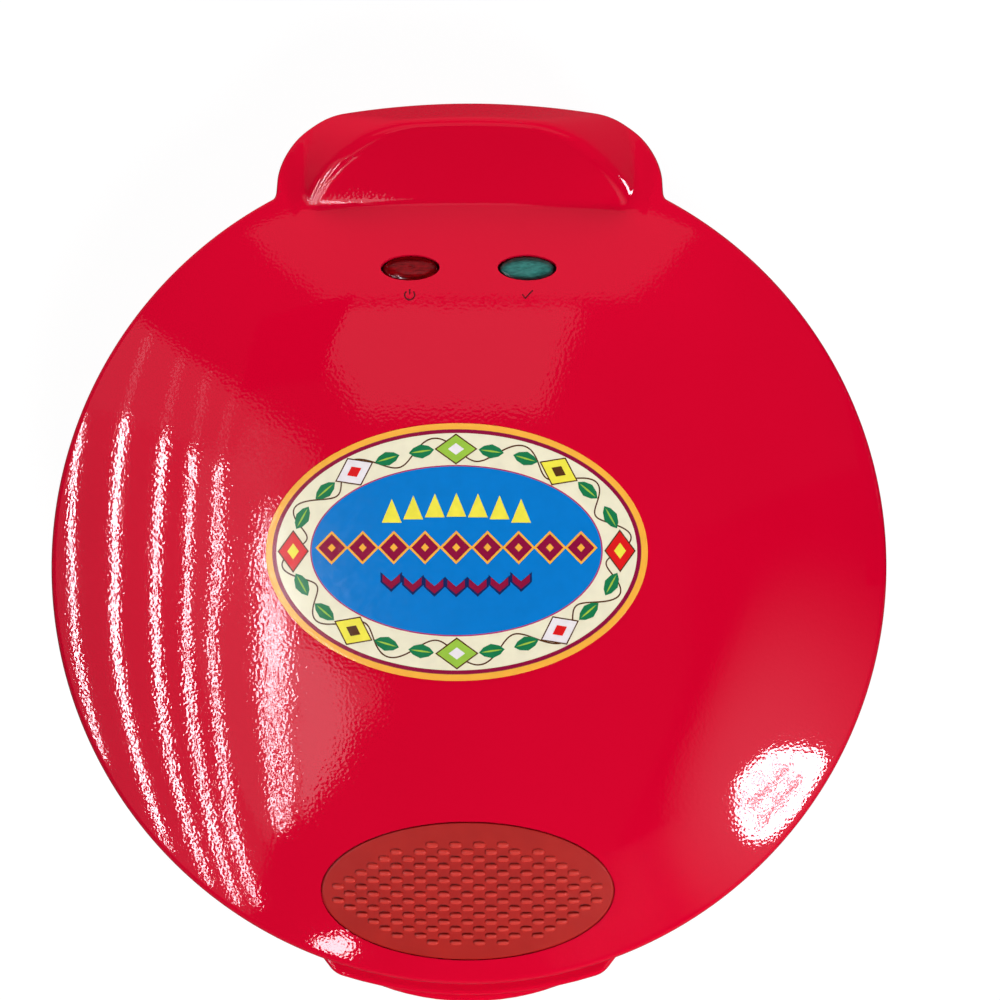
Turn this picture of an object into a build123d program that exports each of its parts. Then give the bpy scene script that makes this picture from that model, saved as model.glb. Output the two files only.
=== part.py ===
from build123d import *
import os
from math import asin, cos, radians, sin, sqrt, tan

# Countertop quesadilla maker: two round cooking plates in a hinged clamshell housing.
#
# +Z is up and -Y is the front. Every piece is drawn round the middle of the round plates, and is then
# moved so that the origin lies on the worktop under the middle of the whole footprint.
# The lid turns on two pins behind the plates. The lower and the upper half are built alike about the
# parting plane, so heights inside a half are given as a depth, measured away from that plane.

# ---------------------------------------------------------------- driving dimensions, millimetres
# cooking plates, for a ten-inch tortilla
plate_radius = 127.5
plate_gap = 0.2               # sealing ridge away from the parting plane
plate_ridge_width = 9.0
pocket_depth = 6.0
plate_thickness = 3.0
plate_skirt_thickness = 3.0
plate_skirt_depth = 12.0
wedge_count = 6
rib_width = 6.0
pocket_corner_radius = 5.0
pocket_draft_inset = 1.6
element_bed_width = 13.0
element_bed_height = 4.0
sensor_seat_radius = 17.0      # raised flat behind the middle of each plate
sensor_seat_height = 2.5
sensor_screw_x = 12.0
stud_radius = 4.0
stud_circle = 45.0
stud_count = 3
lug_angles = (20, 160, 200, 340)
lug_width = 12.0
lug_reach = 4.0
lug_thickness = 3.0

# how the two halves meet
parting_z = 52.0              # height of the plane between them
lid_rim_gap = 0.5             # lid rim above that plane
base_rim_gap = 1.0            # base rim below it

# lid cover: a low dome of two blended radii over a short upright rim
housing_margin = 17.5         # lid cover beyond the plates
lid_wall = 3.0
lid_edge_radius = 3.6         # rolled edge between dome and rim
dome_room = 8.8               # the reflector's back lies this far above the upright rim
crown_radius = 700.0          # flat middle of the dome, under the label
shoulder_radius = 190.0       # steeper outer part of the dome
crown_reach = 85.0            # where the two dome radii meet, from the middle

# hinge hump at the back of the lid
hump_half_width = 68.8
hump_rear_bow = 8.5           # how far the back bulges between its corners
hump_corner_radius = 25.5
hump_hidden_length = 22.0     # in front of the crease, inside the dome
hump_wall_height = 3.0        # upright part of its wall above the parting plane
hump_side_slope = 38.5        # degrees from upright
hump_back_slope = 29.0
hump_loft_height = 36.0
hump_top_corner_radius = 34.0
hump_top_bow = 4.0
facet_setback = 23.0          # crease where the hump's top leaves the dome, inside the lid's edge
facet_half_width = 58.0
facet_rise = 13.0             # degrees, rising to the back
facet_edge_radius = 3.2
skirt_drop = 8.0              # the hump's back wall reaches this far below the hinge axis
skirt_setback = 2.0           # the skirt starts this far in front of the axis

# hinge
hinge_setback = 5.0           # axis behind the lid's round edge
hinge_rise = 2.0              # axis above the parting plane
hump_back_gap = 15.6          # axis to the hump's back
pin_radius = 2.5
pin_head_radius = 4.2
pin_head_length = 2.5
pin_head_gap = 0.4
knuckle_radius = 7.0
lid_knuckle_inner_x = 5.0
lid_knuckle_length = 14.0
base_knuckle_length = 16.0
ear_top_rise = 3.5            # top of the base ears above the axis
knuckle_side_gap = 1.0
bore_clearance = 0.08
web_thickness = 3.0

# base bowl
lid_overhang = 1.5            # lid beyond the base, all round
base_wall = 2.5
foot_height = 6.0
bowl_curve_width = 48.0       # quarter ellipse between flat bottom and upright rim
bowl_curve_height = 34.0
block_slot = 3.0              # between the hump's skirt and the top of the rear block
block_low_fillet = 5.0
block_top_fillet = 2.0
pocket_front_gap = 11.5       # wall in front of the axis that the hump stops against, lid open
pocket_side_gap = 1.2
trough_gap = 0.6              # round the skirt as it swings
trough_side_wall = 3.5
vent_slot_length = 24.0
vent_slot_width = 3.0
vent_pitch = 8.0
vent_count = 9
vent_row_y = 19.0

# front grip of the base: a wide lip with a narrower finger tab below it
lip_reach = 8.5               # beyond the bowl
lip_half_width = 47.0         # at its front corners, from where its ends slant out to the bowl
lip_end_slant = 38.0          # degrees from straight back
lip_end_run = 20.0            # length of a slanted end, which ends inside the bowl's wall
lip_top_drop = 5.0            # below the parting plane
lip_thickness = 8.0
lip_corner_radius = 9.0
lip_edge_radius = 2.0
tab_reach = 11.6
tab_curve_radius = 93.0       # the tab's edge is rounder than the lip's
tab_top_drop = 10.0
tab_thickness = 9.0

# frame rings around the plates
frame_side_gap = 1.3          # plate to frame
frame_clearance = 0.4         # frame to housing
frame_depth = 2.5             # depth of the ring's face
frame_thickness = 2.5
frame_lip_width = 2.2
frame_lip_depth = 8.0
frame_skirt_depth = 7.5
frame_back_gap = 1.5          # behind the frame, to the hinge pocket's wall

# heating elements
element_setback = 39.5        # loop inside the plate's edge
element_radius = 3.3
element_tail_x = 12.0
element_tail_setback = 13.5
element_bend = 8.0
element_seat = 0.05
terminal_radius = 1.3
terminal_length = 8.0

# reflectors
reflector_gap = 3.5           # element to reflector
reflector_thickness = 0.8
reflector_setback = 8.5
reflector_lip = 4.0
reflector_hole_radius = 19.0
reflector_notch_half_width = 44.0   # at the back, round the element's ends and the lamps
reflector_notch_room = 10.8

# fasteners
screw_radius = 1.7
screw_head_radius = 3.2
screw_head_height = 2.2
screw_slot_width = 0.9
screw_slot_depth = 0.8
screw_fit = 0.1
boss_radius = 4.2
boss_gap = 0.5                # boss to the frame's inner edge
post_radius = 5.4
post_angles = (38, 142, 218, 322)
post_drop = 2.0               # post tops below the frame's inner lip
post_seat_thickness = 8.0
recess_radius = 3.8
lid_boss_angles = (50, 130, 230, 310)
screw_bite = 6.0              # length of a screw inside its boss

# lid fittings
pad_setback = 32.3            # pad's middle inside the lid's edge
pad_half_length = 48.9
pad_half_width = 24.1
pad_depth = 1.4
pad_side_gap = 0.2
pad_seat = 0.05
label_x = -3.7
label_y = 0.2
label_half_length = 63.9
label_half_width = 43.1
label_thickness = 0.3
lamp_x = 20.1
lamp_setback = 46.7
lens_half_length = 9.8
lens_half_width = 4.5
lens_side_gap = 0.35
lens_sink = 0.9
lens_flange_reach = 2.6
lens_flange_thickness = 1.4
lens_flange_gap = 0.3
lens_crown = 1.2
bulb_radius = 2.8
bulb_length = 9.0
bulb_gap = 0.8
bracket_thickness = 1.6
bracket_depth = 9.0           # under the dome's outer surface
bracket_end = 5.0             # beyond the stakes
bracket_half_width = 6.5
bracket_stake_gap = 0.8       # lens flange to stake post
bracket_stake_radius = 1.4
bracket_post_radius = 3.0

# electrical fittings
thermostat_radius = 8.5
thermostat_height = 9.0
thermostat_flange_thickness = 1.5
sensor_ear_radius = 4.0
sensor_screw_bite = 3.6       # length of a screw inside the plate
fuse_radius = 2.0
fuse_length = 26.0
fuse_clip_thickness = 0.8
fuse_clip_width = 8.0
fuse_clip_gap = 0.05
terminal_block_size = (40.0, 17.0, 13.0)
terminal_block_y = 62.0
bush_radius = 6.0
bush_flange_radius = 8.5
bush_flange_thickness = 2.0
bush_length = 8.0             # inside the wall
bush_bore_radius = 3.6
bush_z = 20.0

# feet
foot_radius = 9.0
foot_stem_radius = 3.0
foot_edge_setback = 10.6      # front feet inside the flat bottom's edge
front_foot_angle = 47.0       # from the X axis
rear_foot_side_gap = 19.5
rear_foot_back_gap = 29.5

# ---------------------------------------------------------------- values worked out from them
lid_radius = plate_radius + housing_margin
base_radius = lid_radius - lid_overhang
frame_inner_radius = plate_radius + frame_side_gap
fixing_circle = frame_inner_radius + boss_radius + boss_gap
lug_depth = frame_lip_depth + 1.0
post_top_depth = frame_lip_depth + post_drop
element_circle = plate_radius - element_setback
element_tail_y = plate_radius - element_tail_setback
element_depth = plate_gap + pocket_depth + plate_thickness + element_bed_height
reflector_depth = element_depth + element_radius + reflector_gap
reflector_radius = plate_radius - reflector_setback
lid_rim_height = reflector_depth + reflector_thickness - dome_room
lip_radius = base_radius + lip_reach
tab_front = base_radius + tab_reach
facet_front_y = lid_radius - facet_setback
hump_front_y = facet_front_y - hump_hidden_length
hinge_y = lid_radius + hinge_setback
hump_rear_y = hinge_y + hump_back_gap
skirt_front_y = hinge_y - skirt_setback
pad_y = pad_setback - lid_radius
lamp_y = lid_radius - lamp_setback
reflector_notch_y = lamp_y - reflector_notch_room
bracket_stake_x = lamp_x + lens_half_length + lens_flange_reach + bracket_stake_gap + bracket_post_radius
bracket_half_length = bracket_stake_x + bracket_end

hinge_z = parting_z + hinge_rise
lid_bottom_z = parting_z + lid_rim_gap
rim_top_z = parting_z + lid_rim_height
base_rim_z = parting_z - base_rim_gap
bowl_flat_radius = base_radius - bowl_curve_width
bowl_curve_top_z = foot_height + bowl_curve_height
floor_z = foot_height + base_wall
hump_low_z = parting_z + hump_wall_height
skirt_bottom_z = hinge_z - skirt_drop
rear_block_top_z = skirt_bottom_z - block_slot
pocket_front_y = hinge_y - pocket_front_gap
trough_radius = sqrt(hump_back_gap**2 + skirt_drop**2) + trough_gap
trough_half_width = hump_half_width - trough_side_wall
frame_rear_y = pocket_front_y - base_wall - frame_back_gap
lid_knuckle_outer_x = lid_knuckle_inner_x + lid_knuckle_length
base_knuckle_inner_x = lid_knuckle_outer_x + knuckle_side_gap
base_knuckle_outer_x = base_knuckle_inner_x + base_knuckle_length
# the plates' middle lies in front of the frame's origin, which is the middle of the footprint
plate_centre_y = (tab_front - hump_rear_y - bush_flange_thickness) / 2

# dome: centres of the shoulder arc and of the crown arc, in the (radius, height) half plane
shoulder_centre_r = (crown_radius - shoulder_radius) * crown_reach / crown_radius
edge_sine = (lid_radius - lid_edge_radius - shoulder_centre_r) / (shoulder_radius - lid_edge_radius)
edge_angle = asin(edge_sine)
crown_angle = asin(crown_reach / crown_radius)
shoulder_centre_z = rim_top_z - (shoulder_radius - lid_edge_radius) * cos(edge_angle)
crown_centre_z = shoulder_centre_z - (crown_radius - shoulder_radius) * cos(crown_angle)
far = 400.0                   # reach of cutting tools, beyond the whole part


def dome_height(radius):
    """Height of the dome's outer surface at a distance from the middle."""
    if radius < crown_reach:
        return crown_centre_z + sqrt(crown_radius**2 - radius**2)
    return shoulder_centre_z + sqrt(shoulder_radius**2 - (radius - shoulder_centre_r) ** 2)


def dome_plane(x, y):
    """A plane on the dome at (x, y), with its normal outwards and its X axis level with the front."""
    radius = sqrt(x * x + y * y)
    slope = asin((radius - shoulder_centre_r) / shoulder_radius)
    normal = Vector(x / radius * sin(slope), y / radius * sin(slope), cos(slope))
    level = Vector(1, 0, 0) - normal * normal.X
    return Plane(origin=(x, y, dome_height(radius)), x_dir=level, z_dir=normal)


def polar(radius, angle, z=0.0):
    return (radius * cos(radians(angle)), radius * sin(radians(angle)), z)


def turned(profile):
    """A solid of revolution about Z from lines in the (radius, height) half plane."""
    return revolve(Plane.XZ * make_face(profile), Axis.Z)


def ring(outer, inner, low, high):
    """A plain ring about Z between two heights."""
    tube = Cylinder(outer, high - low, align=(Align.CENTER, Align.CENTER, Align.MIN))
    if inner > 0:
        tube -= Cylinder(inner, high - low, align=(Align.CENTER, Align.CENTER, Align.MIN))
    return Pos(0, 0, low) * tube


def block(x0, x1, y0, y1, z0, z1):
    """A box given by its lowest and highest corners."""
    middle = Pos((x0 + x1) / 2, (y0 + y1) / 2, (z0 + z1) / 2)
    return middle * Box(x1 - x0, y1 - y0, z1 - z0)


def rod(radius, x0, x1, y, z):
    """A cylinder along X."""
    return Pos((x0 + x1) / 2, y, z) * Rot(0, 90, 0) * Cylinder(radius, abs(x1 - x0))


def upright(radius, place, z0, z1):
    """A cylinder along Z, standing at a place in plan."""
    return Pos(place[0], place[1], (z0 + z1) / 2) * Cylinder(radius, z1 - z0)


def to_lid(shape):
    """The same piece in the upper half: a mirror image in the parting plane."""
    return mirror(shape, about=Plane.XY.offset(parting_z))


def group(shapes):
    """Separate solids that share one node."""
    return Compound([solid for shape in shapes for solid in shape.solids()])


# ---------------------------------------------------------------- lid cover
def dome_solid(inset, bottom_z):
    """Everything under the dome, with its surface moved inwards by inset."""
    centre_e = (lid_radius - lid_edge_radius, rim_top_z)
    edge = lid_edge_radius - inset
    side = lid_radius - inset
    if edge > 0:
        start = (side, rim_top_z)
        mid_angle = (edge_angle + radians(90)) / 2
        middle = (centre_e[0] + edge * sin(mid_angle), centre_e[1] + edge * cos(mid_angle))
        shoulder_start = (centre_e[0] + edge * sin(edge_angle), centre_e[1] + edge * cos(edge_angle))
        rolled = ThreePointArc(start, middle, shoulder_start)
    else:
        start = shoulder_start = (side, rim_top_z)
        rolled = None
    shoulder = shoulder_radius - inset
    crown = crown_radius - inset
    meet = (shoulder_centre_r + shoulder * sin(crown_angle), shoulder_centre_z + shoulder * cos(crown_angle))
    half = (edge_angle + crown_angle) / 2
    on_shoulder = (shoulder_centre_r + shoulder * sin(half), shoulder_centre_z + shoulder * cos(half))
    apex = (0, crown_centre_z + crown)
    quarter = crown_angle / 2
    on_crown = (crown * sin(quarter), crown_centre_z + crown * cos(quarter))
    profile = [
        Line((0, bottom_z), (side, bottom_z)),
        Line((side, bottom_z), start),
        rolled,
        ThreePointArc(shoulder_start, on_shoulder, meet),
        ThreePointArc(meet, on_crown, apex),
        Line(apex, (0, bottom_z)),
    ]
    return turned([edge for edge in profile if edge is not None])


def hump_outline(half_width, rear_y, bow, corner):
    """Plan of the hump: straight sides, a bowed back and round corners."""
    corner_y = rear_y - bow
    face = make_face(
        [
            Line((-half_width, hump_front_y), (half_width, hump_front_y)),
            Line((half_width, hump_front_y), (half_width, corner_y)),
            ThreePointArc((half_width, corner_y), (0, rear_y), (-half_width, corner_y)),
            Line((-half_width, corner_y), (-half_width, hump_front_y)),
        ]
    )
    return fillet(face.vertices().group_by(Axis.Y)[-1], corner)


def facet_cap(inset):
    """Everything under the hump's top, which is crowned across and rises to the back."""
    drop = dome_height(facet_front_y) - dome_height(sqrt(facet_front_y**2 + facet_half_width**2))
    bend = (facet_half_width**2 + drop**2) / (2 * drop)
    axis_z = dome_height(facet_front_y) - bend / cos(radians(facet_rise))
    barrel = Rot(90, 0, 0) * Cylinder(bend - inset, far)
    return Pos(0, facet_front_y, axis_z) * Rot(facet_rise, 0, 0) * barrel


def hump_solid(inset, bottom_z):
    """The hump's outer form, or its hollow when it is inset by the wall."""
    low = hump_outline(
        hump_half_width - inset, hump_rear_y - inset, hump_rear_bow, hump_corner_radius - inset
    )
    top_half_width = hump_half_width - hump_loft_height * tan(radians(hump_side_slope))
    top_rear_y = hump_rear_y - hump_loft_height * tan(radians(hump_back_slope))
    high = hump_outline(
        top_half_width - inset, top_rear_y - inset, hump_top_bow, hump_top_corner_radius - inset
    )
    top_z = hump_low_z + hump_loft_height
    upper = loft([Plane.XY.offset(hump_low_z) * low, Plane.XY.offset(top_z) * high])
    lower = extrude(Plane.XY.offset(bottom_z) * low, hump_low_z - bottom_z)
    return (upper + lower) & facet_cap(inset)


def hump_with_round_edges():
    """The hump's outer form with its top edge rounded."""
    form = hump_solid(0, lid_bottom_z)
    top_face = form.faces().sort_by(Axis.Z)[-1]
    edges = [e for e in top_face.edges() if e.center().Y > hump_front_y + 1]
    return fillet(edges, facet_edge_radius)


def lid_knuckle(side):
    """One hinge knuckle of the lid with the two ribs that hang it from the hump's roof."""
    x0 = side * lid_knuckle_inner_x
    x1 = side * lid_knuckle_outer_x
    knuckle = rod(knuckle_radius, x0, x1, hinge_y, hinge_z)
    for x in (x0, x1 - side * web_thickness):
        low, high = sorted((x, x + side * web_thickness))
        knuckle += block(
            low, high, hinge_y - knuckle_radius, hinge_y + knuckle_radius, hinge_z, hinge_z + 24.0
        )
    return knuckle & (hump_solid(lid_wall / 2, 0) + rod(knuckle_radius, x0, x1, hinge_y, hinge_z))


def make_lid_cover():
    skirt = hump_solid(0, skirt_bottom_z) & block(-far, far, skirt_front_y, far, 0, hump_low_z)
    outer = dome_solid(0, lid_bottom_z) + hump_with_round_edges() + skirt
    hollow = dome_solid(lid_wall, 0) + hump_solid(lid_wall, 0)
    cover = outer - hollow
    for side in (-1, 1):
        cover += lid_knuckle(side)
        cover -= rod(
            pin_radius + bore_clearance, side, side * base_knuckle_inner_x, hinge_y, hinge_z
        )
    # recess for the grip pad
    pad_plane = dome_plane(0, pad_y)
    recess = elliptic_prism(
        pad_plane, pad_half_length + pad_side_gap, pad_half_width + pad_side_gap, 10
    ) - dome_solid(pad_depth, 0)
    cover -= recess
    # posts for the lamp bracket
    for stake in bracket_stakes():
        cover += stake & dome_solid(lid_wall / 2, 0)
    # windows for the two indicator lenses
    for side in (-1, 1):
        cover -= elliptic_prism(
            lamp_plane(side),
            lens_half_length + lens_side_gap,
            lens_half_width + lens_side_gap,
            12,
        )
    # screw bosses that the frame ring hangs from
    for angle in lid_boss_angles:
        place = polar(fixing_circle, angle)
        boss = upright(boss_radius, place, parting_z + frame_depth + frame_thickness, far)
        cover += boss & dome_solid(lid_wall / 2, 0)
        cover -= upright(
            screw_radius + screw_fit, place, parting_z, parting_z + frame_depth + frame_thickness + 7.0
        )
    return cover


def elliptic_prism(plane, half_length, half_width, reach):
    """An elliptic prism standing across a plane, reach long each way."""
    return extrude(plane * Ellipse(half_length, half_width), reach, both=True)


# ---------------------------------------------------------------- frame rings
def frame_ring(outer_radius):
    """The ring that surrounds a cooking plate, as the lower half has it."""
    face_z = parting_z - frame_depth
    body = ring(outer_radius, frame_inner_radius, face_z - frame_thickness, face_z)
    body += ring(
        frame_inner_radius + frame_lip_width, frame_inner_radius, parting_z - frame_lip_depth, face_z
    )
    body += ring(
        outer_radius, outer_radius - frame_lip_width, parting_z - frame_skirt_depth, face_z
    )
    body -= block(-far, far, frame_rear_y, far, 0, far)
    # rear wall that closes the ring behind the plate
    body += block(
        -sqrt(outer_radius**2 - frame_rear_y**2) + 1,
        sqrt(outer_radius**2 - frame_rear_y**2) - 1,
        frame_rear_y - frame_lip_width,
        frame_rear_y,
        parting_z - frame_lip_depth,
        face_z,
    ) - Cylinder(frame_inner_radius, far)
    for angle in lug_angles:
        place = polar(fixing_circle, angle)
        body += upright(boss_radius, place, parting_z - lug_depth, face_z - 0.5)
        body -= upright(screw_radius + screw_fit, place, parting_z - lug_depth - 1, face_z - 1.2)
    return body


def make_base_frame():
    body = frame_ring(base_radius - base_wall - frame_clearance)
    for angle in post_angles:
        place = polar(fixing_circle, angle)
        top = parting_z - frame_depth - 0.5
        body += upright(boss_radius, place, parting_z - post_top_depth, top)
        body -= upright(screw_radius + screw_fit, place, parting_z - post_top_depth - 1, top - 0.8)
    return body


def make_lid_frame():
    body = to_lid(frame_ring(lid_radius - lid_wall - frame_clearance))
    top = parting_z + frame_depth + frame_thickness
    for angle in lid_boss_angles:
        place = polar(fixing_circle, angle)
        body -= upright(boss_radius + frame_clearance, place, top, top + 10)
        body -= upright(screw_radius + screw_fit, place, parting_z, parting_z + 10)
    return body


# ---------------------------------------------------------------- cooking plates
def wedge_pocket(index, top_z, floor_level_z):
    """One drafted wedge pocket between two ribs."""
    span = 360 / wedge_count
    middle = index * span + span / 2
    outer = plate_radius - plate_ridge_width
    half = radians(span / 2)

    def outline(inset):
        rib = rib_width / 2 + inset
        reach = outer - inset
        tip = (rib / sin(half), 0)
        arm = sqrt(reach**2 - rib**2)
        corner_x = arm * cos(half) + rib * sin(half)
        corner_y = arm * sin(half) - rib * cos(half)
        face = make_face(
            [
                Line(tip, (corner_x, -corner_y)),
                ThreePointArc((corner_x, -corner_y), (reach, 0), (corner_x, corner_y)),
                Line((corner_x, corner_y), tip),
            ]
        )
        return fillet(face.vertices(), pocket_corner_radius)

    solid = loft(
        [
            Plane.XY.offset(floor_level_z) * outline(pocket_draft_inset),
            Plane.XY.offset(top_z) * outline(0),
        ]
    )
    return Rot(0, 0, middle) * solid


def make_lower_plate():
    top_z = parting_z - plate_gap
    deck_z = top_z - pocket_depth
    back_z = deck_z - plate_thickness
    plate = ring(plate_radius, 0, back_z, top_z)
    plate += ring(
        plate_radius, plate_radius - plate_skirt_thickness, top_z - plate_skirt_depth, back_z
    )
    for index in range(wedge_count):
        plate -= wedge_pocket(index, top_z, deck_z)
    bed_in = element_circle - element_bed_width / 2
    bed_out = element_circle + element_bed_width / 2
    plate += ring(bed_out, bed_in, back_z - element_bed_height, back_z)
    for side in (-1, 1):
        plate += block(
            side * element_tail_x - element_bed_width / 2,
            side * element_tail_x + element_bed_width / 2,
            element_circle - 4,
            element_circle + 16,
            back_z - element_bed_height,
            back_z,
        )
    seat_z = back_z - sensor_seat_height
    plate += ring(sensor_seat_radius, 0, seat_z, back_z)
    for side in (-1, 1):
        hole = (side * sensor_screw_x, 0)
        plate -= upright(screw_radius + screw_fit, hole, seat_z - 1, seat_z + sensor_screw_bite + 0.6)
    for index in range(stud_count):
        place = polar(stud_circle, 90 + index * 360 / stud_count)
        plate += upright(stud_radius, place, parting_z - reflector_depth, back_z)
        plate -= upright(
            screw_radius + screw_fit, place, parting_z - reflector_depth - 1, back_z - 2.0
        )
    for angle in lug_angles:
        lug = Rot(0, 0, angle) * block(
            plate_radius - plate_skirt_thickness,
            fixing_circle + lug_reach,
            -lug_width / 2,
            lug_width / 2,
            parting_z - lug_depth - lug_thickness,
            parting_z - lug_depth,
        )
        plate += lug
        plate -= upright(
            screw_radius + screw_fit,
            polar(fixing_circle, angle),
            parting_z - lug_depth - lug_thickness - 1,
            parting_z - lug_depth + 1,
        )
    return plate - element_body(element_radius + element_seat)


# ---------------------------------------------------------------- heating elements
def element_path_z():
    return parting_z - element_depth


def element_body(radius):
    """A tubular element: an open loop under the plate with two straight tails to the back."""
    z = element_path_z()
    tail_start = sqrt(element_circle**2 - element_tail_x**2)
    path = Wire(
        [
            Line((element_tail_x, element_tail_y, z), (element_tail_x, tail_start, z)),
            ThreePointArc(
                (element_tail_x, tail_start, z), (0, -element_circle, z), (-element_tail_x, tail_start, z)
            ),
            Line((-element_tail_x, tail_start, z), (-element_tail_x, element_tail_y, z)),
        ]
    )
    corners = [v for v in path.vertices() if abs(v.Y - tail_start) < 1e-6]
    path = path.fillet_2d(element_bend, corners)
    section = Plane(origin=path @ 0, z_dir=path % 0) * Circle(radius)
    return sweep(section, path=path)


def make_lower_element():
    element = element_body(element_radius)
    for side in (-1, 1):
        pin = Pos(side * element_tail_x, element_tail_y + terminal_length / 2, element_path_z())
        element += pin * Rot(90, 0, 0) * Cylinder(terminal_radius, terminal_length)
    return element


# ---------------------------------------------------------------- reflectors
def make_lower_reflector():
    z = parting_z - reflector_depth
    pan = ring(reflector_radius, reflector_hole_radius, z - reflector_thickness, z)
    pan += ring(reflector_radius, reflector_radius - reflector_thickness, z, z + reflector_lip)
    half_width = reflector_notch_half_width
    pan -= block(-half_width, half_width, reflector_notch_y, far, 0, far)
    for index in range(stud_count):
        place = polar(stud_circle, 90 + index * 360 / stud_count)
        pan -= upright(screw_radius + screw_fit, place, z - 5, z + 5)
    return pan


# ---------------------------------------------------------------- fasteners
def screw_up(place, seat_z, length):
    """A screw driven upwards: its head lies below the seat."""
    head = upright(screw_head_radius, place, seat_z - screw_head_height, seat_z)
    shank = upright(screw_radius, place, seat_z - screw_head_height / 2, seat_z + length)
    length_across = screw_head_radius * 1.3
    drive = Box(length_across, screw_slot_width, 2 * screw_slot_depth)
    drive += Box(screw_slot_width, length_across, 2 * screw_slot_depth)
    return head + shank - Pos(place[0], place[1], seat_z - screw_head_height) * drive


def make_lower_plate_screws():
    seat = parting_z - lug_depth - lug_thickness
    return group([screw_up(polar(fixing_circle, angle), seat, lug_thickness + 2.8) for angle in lug_angles])


def make_lower_reflector_screws():
    seat = parting_z - reflector_depth - reflector_thickness
    places = [polar(stud_circle, 90 + i * 360 / stud_count) for i in range(stud_count)]
    return group([screw_up(place, seat, 7.0) for place in places])


def make_base_screws():
    seat = parting_z - post_top_depth - post_seat_thickness
    return group(
        [screw_up(polar(fixing_circle, a), seat, post_seat_thickness + screw_bite) for a in post_angles]
    )


def make_lid_screws():
    seat = parting_z + frame_depth
    length = frame_thickness + screw_bite
    return group([screw_up(polar(fixing_circle, a), seat, length) for a in lid_boss_angles])


# ---------------------------------------------------------------- base bowl
def bowl_solid(inset, top_z):
    """The bowl's outer form, or its hollow when it is inset by the wall."""
    low = foot_height + inset
    side = base_radius - inset
    curve = EllipticalCenterArc(
        (bowl_flat_radius, bowl_curve_top_z),
        bowl_curve_width - inset,
        bowl_curve_height - inset,
        start_angle=270,
        arc_size=90,
    )
    return turned(
        [
            Line((0, low), (bowl_flat_radius, low)),
            curve,
            Line((side, bowl_curve_top_z), (side, top_z)),
            Line((side, top_z), (0, top_z)),
            Line((0, top_z), (0, low)),
        ]
    )


def rear_block(inset):
    """The block under the hinge, in the hump's own plan."""
    outline = hump_outline(
        hump_half_width - inset, hump_rear_y - inset, hump_rear_bow, hump_corner_radius - inset
    )
    low = foot_height + inset
    body = extrude(Plane.XY.offset(low) * outline, rear_block_top_z - inset - low)
    if inset == 0:
        rear = [e for e in body.faces().sort_by(Axis.Z)[0].edges() if e.center().Y > hump_front_y + 1]
        body = fillet(rear, block_low_fillet)
        rim = [e for e in body.faces().sort_by(Axis.Z)[-1].edges() if e.center().Y > hump_front_y + 1]
        body = fillet(rim, block_top_fillet)
    return body


def front_lip():
    """A wide lip that follows the bowl round the front and runs out in slanted ends."""
    front = sqrt(lip_radius**2 - lip_half_width**2)
    run = lip_end_run * cos(radians(lip_end_slant))
    spread = lip_end_run * sin(radians(lip_end_slant))
    right = [
        (lip_half_width, -far),
        (lip_half_width, -front),
        (lip_half_width + spread, run - front),
        (lip_half_width + spread, 0),
    ]
    left = [(-x, y) for x, y in reversed(right)]
    wedge = make_face(Polyline(*right, *left, close=True))
    outline = Circle(lip_radius) & wedge
    outline = fillet(outline.vertices().group_by(Axis.Y)[0], lip_corner_radius)
    top_z = parting_z - lip_top_drop
    lip = extrude(Plane.XY.offset(top_z - lip_thickness) * outline, lip_thickness)
    rim = [e for e in lip.faces().sort_by(Axis.Z)[-1].edges() if e.center().Y < -base_radius / 2]
    return fillet(rim, lip_edge_radius)


def finger_tab():
    """A narrower tab below the lip, for the thumb that parts the two halves."""
    top_z = parting_z - tab_top_drop
    middle = Pos(0, tab_curve_radius - tab_front, top_z - tab_thickness / 2)
    tab = middle * Cylinder(tab_curve_radius, tab_thickness)
    tab = fillet(tab.edges().group_by(Axis.Z)[-1], lip_edge_radius)
    return tab & block(-far, far, -far, -base_radius / 2, 0, far)


def base_knuckle(side):
    """One hinge ear of the base: a knuckle on an arm from the pocket's front wall."""
    x0, x1 = sorted((side * base_knuckle_inner_x, side * base_knuckle_outer_x))
    ear = rod(knuckle_radius, x0, x1, hinge_y, hinge_z)
    wall_y = pocket_front_y - base_wall
    ear += block(x0, x1, wall_y, hinge_y, hinge_z - knuckle_radius, hinge_z + ear_top_rise)
    return ear


def hinge_pocket(wall):
    """Room for the hump's back wall to swing in, or that room with a wall round it."""
    front_y = pocket_front_y - wall
    half_width = hump_half_width + pocket_side_gap
    room = block(-half_width, half_width, front_y, far, rear_block_top_z - wall, far)
    reach = trough_half_width + wall
    trough = rod(trough_radius + wall, -reach, reach, hinge_y, hinge_z)
    return room + (trough & block(-far, far, front_y, far, 0, far))


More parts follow.
